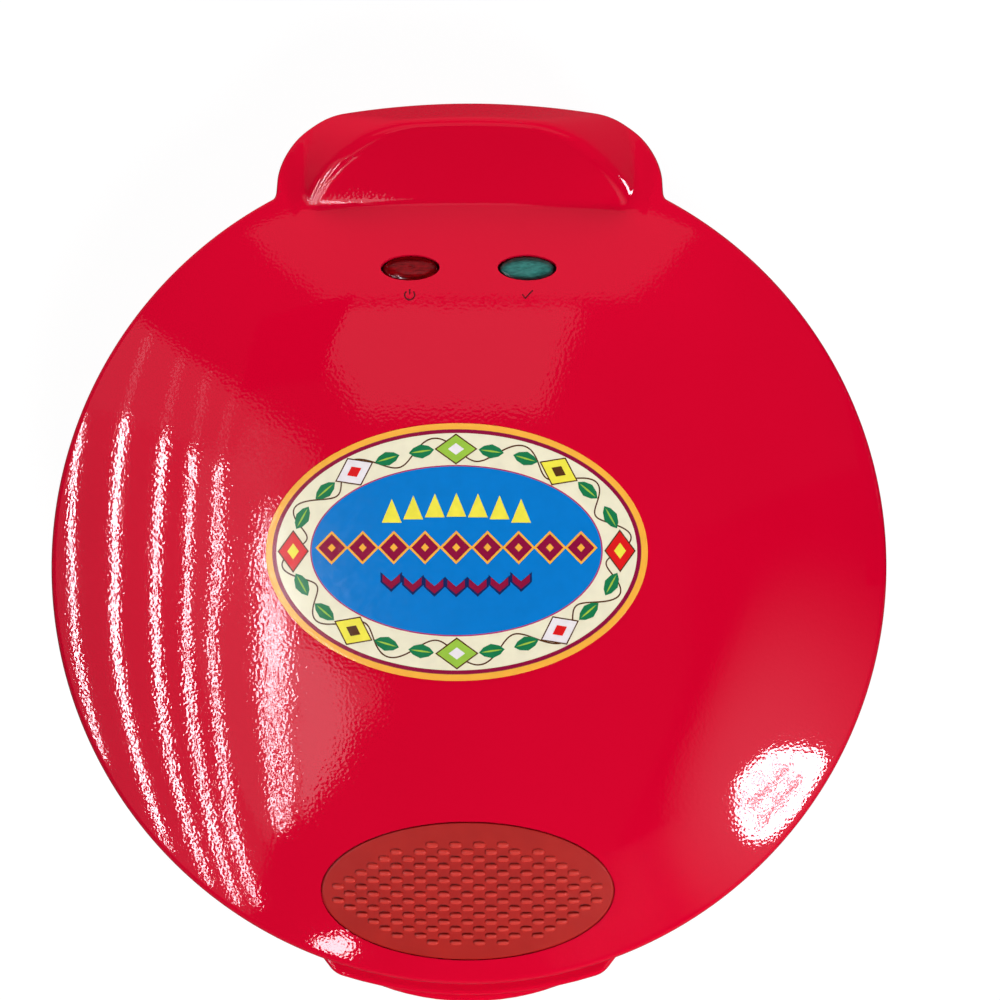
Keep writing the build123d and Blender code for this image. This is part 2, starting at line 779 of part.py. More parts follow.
def make_base_bowl():
    outer = bowl_solid(0, base_rim_z)
    outer += rear_block(0)
    outer += front_lip() + finger_tab()
    pocket = hinge_pocket(0)
    hollow = bowl_solid(base_wall, far) + rear_block(base_wall)
    bowl = outer - pocket - (hollow - hinge_pocket(base_wall))
    for side in (-1, 1):
        bowl += base_knuckle(side)
        bowl -= rod(pin_radius, side * 10, side * (base_knuckle_outer_x + 1), hinge_y, hinge_z)
    # recessed screw posts
    top = parting_z - post_top_depth
    for angle in post_angles:
        place = polar(fixing_circle, angle)
        bowl += upright(post_radius, place, foot_height, top) & bowl_solid(0, base_rim_z)
        bowl -= upright(recess_radius, place, 0, top - post_seat_thickness)
        bowl -= upright(screw_radius + screw_fit, place, 0, top + 1)
    # two rows of cooling slots in the flat bottom
    for row in (-1, 1):
        for index in range(vent_count):
            x = (index - (vent_count - 1) / 2) * vent_pitch
            slot = Pos(x, row * vent_row_y, floor_z) * extrude(
                SlotOverall(vent_slot_length, vent_slot_width, 90), 2 * base_wall, both=True
            )
            bowl -= slot
    for place in foot_places():
        bowl -= upright(foot_stem_radius + screw_fit, place, 0, floor_z + 1)
    bowl -= Pos(0, hump_rear_y, bush_z) * Rot(90, 0, 0) * Cylinder(bush_radius + screw_fit, 20)
    return bowl


# ---------------------------------------------------------------- feet
def foot_places():
    front = polar(bowl_flat_radius - foot_edge_setback, -front_foot_angle)
    rear = (hump_half_width - rear_foot_side_gap, hump_rear_y - rear_foot_back_gap)
    return [(side * x, y) for x, y in (front[:2], rear) for side in (-1, 1)]


def make_foot(place):
    foot = upright(foot_radius, place, 0, foot_height)
    foot = fillet(foot.edges().group_by(Axis.Z)[0], 1.5)
    return foot + upright(foot_stem_radius, place, foot_height, floor_z + 1.0)


# ---------------------------------------------------------------- hinge pins
def make_hinge_pin(side):
    head_x = side * (lid_knuckle_inner_x - pin_head_gap)
    shank = rod(pin_radius, head_x, side * base_knuckle_outer_x, hinge_y, hinge_z)
    return shank + rod(pin_head_radius, head_x - side * pin_head_length, head_x, hinge_y, hinge_z)


# ---------------------------------------------------------------- lid fittings
def make_grip_pad():
    prism = elliptic_prism(dome_plane(0, pad_y), pad_half_length, pad_half_width, 10)
    return prism & (dome_solid(0, 0) - dome_solid(pad_depth - pad_seat, 0))


def make_label():
    prism = Pos(label_x, label_y, 0) * extrude(Ellipse(label_half_length, label_half_width), far)
    return prism & (dome_solid(-label_thickness, 0) - dome_solid(0, 0))


def make_lens(side):
    plane = lamp_plane(side)
    body = extrude(plane.offset(-lid_wall) * Ellipse(lens_half_length, lens_half_width), lid_wall - lens_sink)
    body = fillet(body.faces().sort_by(Axis.Z)[-1].edges(), lens_crown)
    flange = extrude(
        plane.offset(-lid_wall - lens_flange_gap - lens_flange_thickness)
        * Ellipse(lens_half_length + lens_flange_reach, lens_half_width + lens_flange_reach),
        lens_flange_thickness,
    )
    neck = extrude(plane.offset(-lid_wall - 0.5) * Ellipse(lens_half_length, lens_half_width), 1.0)
    return body + neck + flange


def make_bulb(side):
    plane = lamp_plane(side)
    depth = lid_wall + lens_flange_gap + lens_flange_thickness + bulb_gap
    bulb = plane * Pos(0, 0, -depth - bulb_length / 2) * Cylinder(bulb_radius, bulb_length)
    return bulb


def lamp_plane(side):
    """The dome's plane over one lamp, or over the middle of the lamp bracket."""
    return dome_plane(side * lamp_x, lamp_y)


def bracket_stakes():
    """Two posts under the dome, ending in thin stakes that hold the lamp bracket."""
    plane = dome_plane(0, lamp_y)
    stakes = []
    for side in (-1, 1):
        at = plane * Pos(side * bracket_stake_x, 0, -bracket_depth / 2 - 0.5)
        stakes.append(at * Cylinder(bracket_post_radius, bracket_depth - 1))
        tip = plane * Pos(side * bracket_stake_x, 0, -bracket_depth - bracket_thickness / 2 - 0.4)
        stakes.append(tip * Cylinder(bracket_stake_radius, bracket_thickness + 2.0))
    return stakes


def make_lamp_bracket():
    plane = dome_plane(0, lamp_y).offset(-bracket_depth - bracket_thickness)
    outline = RectangleRounded(2 * bracket_half_length, 2 * bracket_half_width, 4.0)
    plate = extrude(plane * outline, bracket_thickness)
    for side in (-1, 1):
        plate -= lamp_plane(side) * Cylinder(bulb_radius + screw_fit, 60)
        plate -= plane * Pos(side * bracket_stake_x, 0, 0) * Cylinder(bracket_stake_radius + screw_fit, 20)
    return plate


# ---------------------------------------------------------------- electrical fittings
def sensor_seat_z():
    return parting_z - plate_gap - pocket_depth - plate_thickness - sensor_seat_height


def ear_strip(low, high, half_width):
    """A flat strip that reaches from one sensor screw to the other, with round ends and two holes."""
    outline = SlotCenterToCenter(2 * sensor_screw_x, 2 * half_width)
    strip = extrude(Plane.XY.offset(low) * outline, high - low)
    for side in (-1, 1):
        strip -= upright(screw_radius + screw_fit, (side * sensor_screw_x, 0), low - 1, high + 1)
    return strip


def make_thermostat():
    seat = sensor_seat_z()
    body = ear_strip(seat - thermostat_flange_thickness, seat, sensor_ear_radius)
    can = upright(thermostat_radius, (0, 0), seat - thermostat_height, seat)
    can -= ring(far, thermostat_radius - 0.8, seat - 5.5, seat - 4.5)
    body += can
    tip = seat - thermostat_height
    for side in (-1, 1):
        body += block(side * 4 - 1.5, side * 4 + 1.5, -0.4, 0.4, tip - 8, tip)
    return body


def make_thermostat_screws():
    seat = sensor_seat_z() - thermostat_flange_thickness
    length = thermostat_flange_thickness + sensor_screw_bite
    return group([screw_up((side * sensor_screw_x, 0), seat, length) for side in (-1, 1)])


def make_fuse_clip():
    """A sheet strap bent over the fuse, held by the two sensor screws of the upper plate."""
    seat = to_lid_z(sensor_seat_z())
    axis_z = seat + fuse_radius
    inner = fuse_radius + fuse_clip_gap
    outer = inner + fuse_clip_thickness
    half = fuse_clip_width / 2
    clip = ear_strip(seat, seat + fuse_clip_thickness, sensor_ear_radius)
    clip += block(-outer, outer, -half, half, seat, axis_z)
    clip += Pos(0, 0, axis_z) * Rot(90, 0, 0) * Cylinder(outer, fuse_clip_width)
    clip -= block(-inner, inner, -far, far, seat - 1, axis_z)
    return clip - Pos(0, 0, axis_z) * Rot(90, 0, 0) * Cylinder(inner, far)


def make_fuse_screws():
    seat = sensor_seat_z() - fuse_clip_thickness
    length = fuse_clip_thickness + sensor_screw_bite
    return to_lid(group([screw_up((side * sensor_screw_x, 0), seat, length) for side in (-1, 1)]))


def make_thermal_fuse():
    """A metal-cased fuse with a lead at each end."""
    axis = Pos(0, 0, to_lid_z(sensor_seat_z()) + fuse_radius) * Rot(90, 0, 0)
    case = fillet(Cylinder(fuse_radius, fuse_length / 2).edges(), 0.6)
    return axis * (case + Cylinder(0.5, fuse_length))


def to_lid_z(z):
    return 2 * parting_z - z


def make_terminal_block():
    length, width, height = terminal_block_size
    body = block(
        -length / 2, length / 2, terminal_block_y - width / 2, terminal_block_y + width / 2,
        floor_z, floor_z + height,
    )
    for index in range(3):
        x = (index - 1) * 12
        body -= Pos(x, terminal_block_y, floor_z + height) * Cylinder(3.0, 8)
    return body


def make_cord_bush():
    """The bush that lines the cord inlet in the back of the base."""
    outside = hump_rear_y
    bush = Rot(-90, 0, 0) * (
        Cylinder(bush_radius, base_wall + bush_length, align=(Align.CENTER, Align.CENTER, Align.MAX))
        + Cylinder(
            bush_flange_radius, bush_flange_thickness, align=(Align.CENTER, Align.CENTER, Align.MIN)
        )
    )
    bush = Pos(0, outside, bush_z) * bush
    return bush - Pos(0, outside, bush_z) * Rot(90, 0, 0) * Cylinder(bush_bore_radius, 60)


# ---------------------------------------------------------------- the whole assembly
def make_parts():
    foot_names = ["front_left", "front_right", "rear_left", "rear_right"]
    plate = make_lower_plate()
    element = make_lower_element()
    reflector = make_lower_reflector()
    plate_screws = make_lower_plate_screws()
    reflector_screws = make_lower_reflector_screws()
    parts = {
        "base_bowl": make_base_bowl(),
        "base_frame": make_base_frame(),
        "lower_plate": plate,
        "lower_element": element,
        "lower_reflector": reflector,
        "lower_plate_screws": plate_screws,
        "lower_reflector_screws": reflector_screws,
        "base_screws": make_base_screws(),
        "thermostat": make_thermostat(),
        "thermostat_screws": make_thermostat_screws(),
        "terminal_block": make_terminal_block(),
        "cord_bush": make_cord_bush(),
        "lid_cover": make_lid_cover(),
        "lid_frame": make_lid_frame(),
        "upper_plate": to_lid(plate),
        "upper_element": to_lid(element),
        "upper_reflector": to_lid(reflector),
        "upper_plate_screws": to_lid(plate_screws),
        "upper_reflector_screws": to_lid(reflector_screws),
        "lid_screws": make_lid_screws(),
        "thermal_fuse": make_thermal_fuse(),
        "fuse_clip": make_fuse_clip(),
        "fuse_screws": make_fuse_screws(),
        "grip_pad": make_grip_pad(),
        "label": make_label(),
        "power_lens": make_lens(-1),
        "ready_lens": make_lens(1),
        "power_bulb": make_bulb(-1),
        "ready_bulb": make_bulb(1),
        "lamp_bracket": make_lamp_bracket(),
        "hinge_pin_left": make_hinge_pin(-1),
        "hinge_pin_right": make_hinge_pin(1),
    }
    for name, place in zip(foot_names, foot_places()):
        parts["foot_" + name] = make_foot(place)
    return {name: Pos(0, plate_centre_y, 0) * shape for name, shape in parts.items()}


if __name__ == "__main__":
    os.makedirs("parts", exist_ok=True)
    for node, shape in make_parts().items():
        export_step(shape, f"parts/{node}.step")
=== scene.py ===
import math
from math import asin, cos, pi, radians, sin, sqrt, tan

import bmesh
import bpy
import numpy as np
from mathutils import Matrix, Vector


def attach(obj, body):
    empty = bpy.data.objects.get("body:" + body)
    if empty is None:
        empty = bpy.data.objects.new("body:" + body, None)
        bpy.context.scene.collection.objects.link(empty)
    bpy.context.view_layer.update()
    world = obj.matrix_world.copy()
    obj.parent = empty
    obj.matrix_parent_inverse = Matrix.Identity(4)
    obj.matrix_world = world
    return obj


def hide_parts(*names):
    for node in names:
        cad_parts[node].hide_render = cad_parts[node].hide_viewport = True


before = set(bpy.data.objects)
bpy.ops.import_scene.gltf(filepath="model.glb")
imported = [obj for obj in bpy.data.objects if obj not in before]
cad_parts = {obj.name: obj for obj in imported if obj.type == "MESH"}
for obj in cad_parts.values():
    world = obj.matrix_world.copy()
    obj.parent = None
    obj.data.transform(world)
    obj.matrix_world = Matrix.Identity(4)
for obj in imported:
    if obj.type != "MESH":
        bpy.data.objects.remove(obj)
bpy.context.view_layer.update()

# ---------------------------------------------------------------- camera
# The photograph looks almost straight down on the closed lid, from about 0.6 m, with the hinge at
# the top of the picture. Its lens and place are worked out from a fit to the lid's outline.
MM = 0.001                    # sizes below are in millimetres
view_elevation = 84.0
view_distance = 600.0
view_focal_px = 1708.6
view_width_px = 1000
sensor_width = 36.0
plate_centre_y = -6.25        # sizes below are measured from the middle of the round plates
view_target = (10.77, 20.27 + plate_centre_y, 60.0)

camera = bpy.data.objects.new("camera", bpy.data.cameras.new("camera"))
bpy.context.collection.objects.link(camera)
camera.data.sensor_width = sensor_width
camera.data.lens = view_focal_px / view_width_px * sensor_width
camera.data.clip_start = 0.01
camera.rotation_euler = (radians(90 - view_elevation), 0, 0)
camera.location = (
    view_target[0] * MM,
    (view_target[1] - view_distance * cos(radians(view_elevation))) * MM,
    (view_target[2] + view_distance * sin(radians(view_elevation))) * MM,
)
bpy.context.scene.camera = camera
bpy.context.scene.view_settings.view_transform = "Standard"

# ---------------------------------------------------------------- floor, background and lights
# Plain studio: a pale worktop on white, a soft main light from the front right and soft fills. A
# louvred window at the left and a few bright cards show only as reflections in the glossy lid.
floor_size = 6.0              # in metres, as are the places and sizes of the lights
floor_tone = 0.08
floor_white = 0.95
world_white = 0.96
room_glow = 0.03
light_aim = Vector((0, 0, 0.05))
card_colour = (0.90, 0.92, 1.0, 1)
fade_core = 1 / 6             # share of a fading card's reach that keeps its full light
fade_squash = (0, 1, 0.6)     # its light reaches further in height than along
left_window_x = -1300
gap_end_share = 0.35
gap_taper = 0.5
right_window_x = 1300
bar_lead = 10                 # the bars stand this far in front of the right window
bar_strength = 6.0


def add_object(name, mesh):
    obj = bpy.data.objects.new(name, mesh)
    bpy.context.collection.objects.link(obj)
    return obj


def mesh_from(name, points, faces):
    """A mesh from points in millimetres about the middle of the plates."""
    mesh = bpy.data.meshes.new(name)
    mesh.from_pydata([(x * MM, (y + plate_centre_y) * MM, z * MM) for x, y, z in points], [], faces)
    mesh.update()
    return mesh


def node_tree(owner):
    """The emptied nodes and links of a material or a world."""
    owner.use_nodes = True
    nodes = owner.node_tree.nodes
    nodes.clear()
    return nodes, owner.node_tree.links


def seen_directly(nodes, links):
    """Gives 1 to rays from the camera or through clear plastic, which see a white background.
    Glossy rays are left out, because the lid mirrors a dim room."""
    path = nodes.new("ShaderNodeLightPath")
    direct = nodes.new("ShaderNodeMath")
    direct.operation = "MAXIMUM"
    links.new(path.outputs["Is Camera Ray"], direct.inputs[0])
    links.new(path.outputs["Is Transmission Ray"], direct.inputs[1])
    return direct.outputs[0]


def make_floor():
    half = floor_size / 2 / MM
    corners = [(-half, -half, 0), (half, -half, 0), (half, half, 0), (-half, half, 0)]
    floor = add_object("floor", mesh_from("floor", corners, [(0, 1, 2, 3)]))
    material = bpy.data.materials.new("pale_floor")
    nodes, links = node_tree(material)
    out = nodes.new("ShaderNodeOutputMaterial")
    diffuse = nodes.new("ShaderNodeBsdfDiffuse")
    diffuse.inputs["Color"].default_value = (floor_tone, floor_tone, floor_tone, 1)
    glow = nodes.new("ShaderNodeEmission")
    glow.inputs["Strength"].default_value = floor_white
    white = nodes.new("ShaderNodeAddShader")
    links.new(diffuse.outputs[0], white.inputs[0])
    links.new(glow.outputs[0], white.inputs[1])
    seen = nodes.new("ShaderNodeMixShader")
    links.new(seen_directly(nodes, links), seen.inputs[0])
    links.new(diffuse.outputs[0], seen.inputs[1])
    links.new(white.outputs[0], seen.inputs[2])
    links.new(seen.outputs[0], out.inputs["Surface"])
    floor.data.materials.append(material)


def make_world():
    world = bpy.data.worlds.new("studio")
    bpy.context.scene.world = world
    nodes, links = node_tree(world)
    out = nodes.new("ShaderNodeOutputWorld")
    seen = nodes.new("ShaderNodeMixShader")
    links.new(seen_directly(nodes, links), seen.inputs[0])
    for index, strength in ((1, room_glow), (2, world_white)):
        shade = nodes.new("ShaderNodeBackground")
        shade.inputs["Strength"].default_value = strength
        shade.inputs["Color"].default_value = (1, 1, 1, 1)
        links.new(shade.outputs[0], seen.inputs[index])
    links.new(seen.outputs[0], out.inputs["Surface"])


def soft_light(name, place, size, power):
    """A square light at a place in metres, facing the object, that isn't seen in reflections."""
    data = bpy.data.lights.new(name, "AREA")
    data.size = size
    data.energy = power
    light = bpy.data.objects.new(name, data)
    bpy.context.collection.objects.link(light)
    light.location = place
    light.rotation_euler = (light_aim - Vector(place)).to_track_quat("-Z", "Y").to_euler()
    light.visible_glossy = False
    light.visible_camera = False


def card_glow(strength, fade=None):
    """Plain white-blue light; a fade (centre y, centre z, reach) lets it die away from its middle."""
    material = bpy.data.materials.new("card_glow")
    nodes, links = node_tree(material)
    glow = nodes.new("ShaderNodeEmission")
    glow.inputs["Color"].default_value = card_colour
    glow.inputs["Strength"].default_value = strength
    links.new(glow.outputs[0], nodes.new("ShaderNodeOutputMaterial").inputs["Surface"])
    if fade:
        centre_y, centre_z, reach = fade
        place = nodes.new("ShaderNodeTexCoord")
        offset, squash, length = (nodes.new("ShaderNodeVectorMath") for _ in range(3))
        offset.operation = "SUBTRACT"
        offset.inputs[1].default_value = (0, (centre_y + plate_centre_y) * MM, centre_z * MM)
        squash.operation = "MULTIPLY"
        squash.inputs[1].default_value = fade_squash
        length.operation = "LENGTH"
        falloff = nodes.new("ShaderNodeMapRange")
        falloff.interpolation_type = "SMOOTHSTEP"
        falloff.inputs["From Min"].default_value = reach * MM * fade_core
        falloff.inputs["From Max"].default_value = reach * MM
        falloff.inputs["To Min"].default_value = strength
        falloff.inputs["To Max"].default_value = 0.0
        links.new(place.outputs["Object"], offset.inputs[0])
        links.new(offset.outputs[0], squash.inputs[0])
        links.new(squash.outputs[0], length.inputs[0])
        links.new(length.outputs["Value"], falloff.inputs["Value"])
        links.new(falloff.outputs["Result"], glow.inputs["Strength"])
    return material


def card(name, points, strength, faces=None, fade=None):
    """A bright flat shape that only reflections see; its points are in millimetres."""
    obj = add_object(name, mesh_from(name, points, faces or [tuple(range(len(points)))]))
    obj.data.materials.append(card_glow(strength, fade))
    for kind in ("camera", "diffuse", "transmission", "volume_scatter", "shadow"):
        setattr(obj, "visible_" + kind, False)


def window_gap(name, half_height, strength, run):
    """One lit gap of the window's louvres: a strip along points (y, z), thinner towards its end."""
    points, faces = [], []
    for index, (y, z) in enumerate(run):
        at_end = index in (0, len(run) - 1)
        half = half_height * (gap_end_share if at_end else 1.0 - gap_taper * index / len(run))
        points += [(left_window_x, y, z - half), (left_window_x, y, z + half)]
    for index in range(len(run) - 1):
        faces.append((2 * index, 2 * index + 1, 2 * index + 3, 2 * index + 2))
    card(name, points, strength, faces)


def window_bar(name, start, end, half_width):
    """One bar of the lattice in front of the right window, between two points (y, z)."""
    start, end = Vector(start), Vector(end)
    along = end - start
    across = Vector((-along.y, along.x)).normalized() * half_width
    corners = [start + across, end + across, end - across, start - across]
    card(name, [(right_window_x - bar_lead, y, z) for y, z in corners], bar_strength)


make_floor()
make_world()
soft_light("main_light", (0.95, -2.05, 1.9), 1.2, 104.0)
soft_light("left_fill", (-2.2, -0.4, 0.8), 1.2, 6.0)
soft_light("back_fill", (-0.3, 2.2, 0.45), 1.4, 84.0)

for number, gap in enumerate([
    (19, 34, [(565, 605), (535, 625), (270, 690), (45, 740), (-210, 735), (-500, 740), (-620, 735)]),
    (34, 34, [(630, 975), (600, 995), (310, 1080), (50, 1130), (-235, 1080), (-505, 1050), (-860, 980),
              (-1125, 920)]),
    (46, 30, [(635, 1475), (605, 1495), (360, 1600), (70, 1615), (-255, 1540), (-600, 1400), (-1115, 1220),
              (-1465, 1085)]),
    (62, 27, [(640, 1970), (610, 2000), (415, 2140), (95, 2195), (-270, 2000), (-705, 1750), (-1270, 1440),
              (-1745, 1225)]),
    (76, 26, [(655, 2640), (630, 2670), (480, 2800), (130, 2890), (-275, 2555), (-765, 2150), (-1370, 1690),
              (-1900, 1450)]),
    (104, 28, [(560, 3740), (250, 3640), (-10, 3740), (-300, 3720), (-630, 3640), (-1005, 3160),
               (-1385, 2690), (-1620, 2540)]),
    (110, 28, [(60, 3990), (-225, 3990), (-590, 4020), (-1110, 3600), (-1450, 3050), (-1615, 2760)]),
    (26, 1.5, [(1000, 885), (960, 895), (760, 945), (640, 970)]),
    (34, 1.5, [(995, 1330), (960, 1340), (770, 1420), (640, 1465)]),
    (44, 1.4, [(1010, 1785), (960, 1815), (780, 1940), (650, 1990)]),
    (56, 1.2, [(1030, 2455), (980, 2480), (800, 2610), (665, 2650)]),
    (56, 1.0, [(1005, 3180), (950, 3190), (760, 3230), (650, 3255)]),
    (70, 1.0, [(1035, 3500), (980, 3500), (760, 3500), (635, 3500)]),
    (70, 0.9, [(1050, 3935), (980, 3920), (800, 3850), (690, 3820)]),
]):
    window_gap(f"window_gap_{number + 1}", *gap)
card("window_low", [(left_window_x - 20, y, z) for y, z in (
    (600, 550), (690, 2200), (-1650, 2200), (-1800, 1700), (-1950, 1200), (-900, 550))], 0.30)
card("window_high", [(left_window_x - 20, y, z) for y, z in (
    (690, 2200), (760, 2900), (815, 3730), (350, 4460), (-115, 4500), (-500, 5500), (-1060, 8400),
    (-1430, 8150), (-1335, 6450), (-1600, 5450), (-1650, 2200))], 0.62)
card("window_top", [(left_window_x - 40, y, z) for y, z in (
    (400, 550), (970, 550), (1060, 650), (1070, 1450), (1100, 2040), (1180, 3900), (1200, 5000),
    (400, 5000))], 0.42)
card("window_edge", [(left_window_x - 10, y, z) for y, z in (
    (270, 4150), (270, 4290), (-300, 4510), (-490, 5480), (-905, 6250), (-1345, 6420), (-1555, 5800),
    (-1645, 4420), (-1720, 3160), (-1210, 3900), (-750, 4300))], 1.9)
card("ceiling_patch", [(x, y, 2000) for x, y in (
    (-880, 1330), (-590, 1215), (-340, 1120), (-125, 1065), (40, 1055), (215, 1100), (430, 1195), (310, 895),
    (215, 615), (-395, 620), (-595, 920))], 0.48)
card("back_wall", [(x, 3000, z) for x, z in (
    (-1930, 1700), (-1860, 2690), (-1550, 4550), (-940, 5185), (-345, 5500), (245, 5520), (850, 5090),
    (1565, 4195), (1770, 2885), (1850, 1700))], 0.30)

card("right_strip", [(right_window_x, y, z) for y, z in (
    (220, 140), (760, 140), (760, 380), (220, 380))], 20.0)
card("right_window", [(right_window_x, y, z) for y, z in (
    (-980, 1740), (-1180, 1470), (-1220, 1280), (-1190, 1140), (-1110, 1010), (-900, 890), (-660, 830),
    (-630, 920), (-650, 1100), (-730, 1440), (-860, 1610))], 32.0)
for number, bar in enumerate([
    ((-1070, 1455), (-905, 1275), 22), ((-905, 1275), (-735, 1155), 20), ((-1115, 1200), (-928, 1115), 21),
    ((-928, 1115), (-757, 995), 19), ((-995, 1595), (-1047, 1120), 13), ((-872, 1500), (-928, 1012), 12),
    ((-768, 1342), (-830, 970), 11),
]):
    window_bar(f"window_bar_{number + 1}", *bar)
card("right_veil", [(right_window_x + 20, y, z) for y, z in (
    (-2300, 60), (400, 60), (400, 3800), (-2300, 3800))], 0.75, fade=(-950, 1500, 1200))
card("front_spark", [(x, -2000, z) for x, z in (
    (-915, 1285), (-870, 1395), (-800, 1410), (-795, 1550), (-690, 1430), (-665, 1340), (-720, 1215),
    (-815, 1225))], 20.0)
# two black cards keep reflections off the hump's left side and off the right rim
card("hump_flag", [(x, y, 200) for x, y in ((-136, 100), (-78, 100), (-70, 165), (-140, 165))], 0.0)
card("rim_flag", [(150, y, z) for y, z in ((-10, 50), (125, 50), (125, 78), (-10, 78))], 0.0)

# ---------------------------------------------------------------- lid shell
# The lid's outside is one injection moulding in glossy red plastic, 3 mm thick: a low dome with a
# rolled edge, and a hump at the back that covers the hinge.
lid_radius = 145.0
lid_wall = 3.0
lid_bottom_z = 52.5
rim_top_z = 64.0
lid_edge_radius = 3.6
lid_edge_steps = 7
lid_edge_slopes = (20.0, 72.0)
outside_fall = 25.0           # beyond the rim the dome's height drops this steeply
lid_inner_drop = 1.15 * lid_wall
bottom_chamfer = (0.4, 0.5)
crown_radius = 700.0
shoulder_radius = 190.0
crown_reach = 85.0
hump_half_width = 68.8
hump_front_y = 95.0
far_below = -1000.0           # the hump's height where there is no hump
hump_rear_y = 165.6
hump_low_z = 55.0
hump_height = 36.0
hump_side_slope = 34.5
hump_back_slope = 29.0
hump_bows = (8.5, 4.0)
hump_corners = (22.5, 34.0)
hump_shares = (-0.3, 1.15)    # the outline is drawn a little below its foot and above its top
hump_half_angle = 33.0
outline_blend = 2.5
valley_x = 54.0               # the valley between dome and hump grows softer from here outwards
valley_run = 9.0
valley_blends = (1.3, 6.0)
facet_front_y = 122.0
facet_half_width = 58.0
facet_rise = 13.0
facet_flattening = 0.85
facet_flat_run = 16.0
facet_blend = 5.0
skirt_bottom_z = 46.0
skirt_front_y = 148.0
red_plastic_colour = (0.64, 0.0005, 0.024)
red_plastic_shade = (0.62, 0.0004, 0.022)

shoulder_centre_r = (crown_radius - shoulder_radius) * crown_reach / crown_radius
edge_angle = asin((lid_radius - lid_edge_radius - shoulder_centre_r) / (shoulder_radius - lid_edge_radius))
crown_angle = asin(crown_reach / crown_radius)
shoulder_centre_z = rim_top_z - (shoulder_radius - lid_edge_radius) * cos(edge_angle)
crown_centre_z = shoulder_centre_z - (crown_radius - shoulder_radius) * cos(crown_angle)


def dome_height(radius):
    """Height of the dome's outside at a distance from the middle, rolled edge included."""
    radius = np.asarray(radius, float)
    crown = crown_centre_z + np.sqrt(crown_radius**2 - np.minimum(radius, crown_reach) ** 2)
    off = np.clip(radius - shoulder_centre_r, 0, shoulder_radius * sin(edge_angle))
    shoulder = shoulder_centre_z + np.sqrt(shoulder_radius**2 - off**2)
    roll_off = np.clip(radius - (lid_radius - lid_edge_radius), 0, lid_edge_radius)
    roll = rim_top_z + np.sqrt(lid_edge_radius**2 - roll_off**2)
    roll -= outside_fall * np.maximum(radius - lid_radius, 0)
    rolled_from = lid_radius - lid_edge_radius * (1 - sin(edge_angle))
    return np.where(radius < crown_reach, crown, np.where(radius < rolled_from, shoulder, roll))


def blend_min(a, b, reach):
    """The lower of two heights, rounded where they come within the reach of each other."""
    h = np.maximum(reach - np.abs(a - b), 0) / reach
    return np.minimum(a, b) - h * h * reach / 4


def blend_max(a, b, reach):
    return -blend_min(-a, -b, reach)


def outline_distance(x, y, share):
    """Distance outside the hump's outline, which shrinks from its foot (share 0) to its top (1)."""
    width = hump_half_width - share * hump_height * tan(radians(hump_side_slope))
    rear = hump_rear_y - share * hump_height * tan(radians(hump_back_slope))
    bow = hump_bows[0] + (hump_bows[1] - hump_bows[0]) * share
    corner = hump_corners[0] + (hump_corners[1] - hump_corners[0]) * share
    side = np.abs(x) - width
    back = y - (rear - bow * (x / width) ** 2)
    rounded = np.hypot(np.maximum(side + corner, 0), np.maximum(back + corner, 0)) - corner
    return np.where((side > -corner) & (back > -corner), rounded, np.maximum(side, back))


def last_inside(low, high, steps, inside):
    """Halves the spans from low to high about the last value that lies inside."""
    for _ in range(steps):
        middle = (low + high) / 2
        kept = inside(middle)
        low = np.where(kept, middle, low)
        high = np.where(kept, high, middle)
    return (low + high) / 2


def hump_height_at(x, y):
    """Height of the hump's outside over a point of the plan."""
    low, high = (np.full(np.shape(x), share) for share in hump_shares)
    share = last_inside(low, high, 26, lambda middle: outline_distance(x, y, middle) < 0)
    wall = hump_low_z + hump_height * share
    drop = dome_height(facet_front_y) - dome_height(math.hypot(facet_front_y, facet_half_width))
    bend = (facet_half_width**2 + drop**2) / (2 * drop)
    flatter = 1 - facet_flattening * np.clip((y - facet_front_y) / facet_flat_run, 0, 1)
    facet = (
        dome_height(facet_front_y)
        + (y - facet_front_y) * tan(radians(facet_rise))
        + (np.sqrt(bend**2 - np.minimum(np.abs(x), bend) ** 2) - bend) * flatter
    )
    return blend_min(wall, facet, facet_blend)


def unrolled_height(radius):
    """Height of the dome's outside without its rolled edge, as it runs on into the hump's skirt."""
    off = np.clip(radius - shoulder_centre_r, 0, 0.8 * shoulder_radius)
    shoulder = shoulder_centre_z + np.sqrt(shoulder_radius**2 - off**2)
    return np.where(radius < crown_reach, dome_height(radius), shoulder)


def lid_height(x, y):
    """Height of the lid's outside, dome and hump together."""
    hump = np.where(y > hump_front_y, hump_height_at(x, np.maximum(y, hump_front_y)), far_below)
    beside = np.clip((np.abs(x) - valley_x) / valley_run, 0, 1)
    softness = valley_blends[0] + valley_blends[1] * beside * beside * (3 - 2 * beside)
    return blend_max(unrolled_height(np.hypot(x, y)), hump, softness)


def lid_reach(angle):
    """How far the lid's outline reaches from the middle in a direction of the plan."""
    def inside_hump(reach):
        return outline_distance(reach * np.cos(angle), reach * np.sin(angle), 0.0) < 0

    shape = np.shape(angle)
    hump = last_inside(np.full(shape, 100.0), np.full(shape, 200.0), 30, inside_hump)
    hump = np.where(np.abs(angle - pi / 2) < radians(hump_half_angle), hump, 0.0)
    return blend_max(np.full(shape, lid_radius), hump, outline_blend)


def lid_columns():
    """Directions of the grid's columns, closer together across the hump and its two corners. A span
    is its first and last angle in degrees and its number of columns."""
    spans = [(60.5, 66.5, 46), (66.5, 113.5, 104), (113.5, 119.5, 46), (119.5, 420.5, 250)]
    return np.radians(np.concatenate([np.linspace(a, b, n, endpoint=False) for a, b, n in spans]))


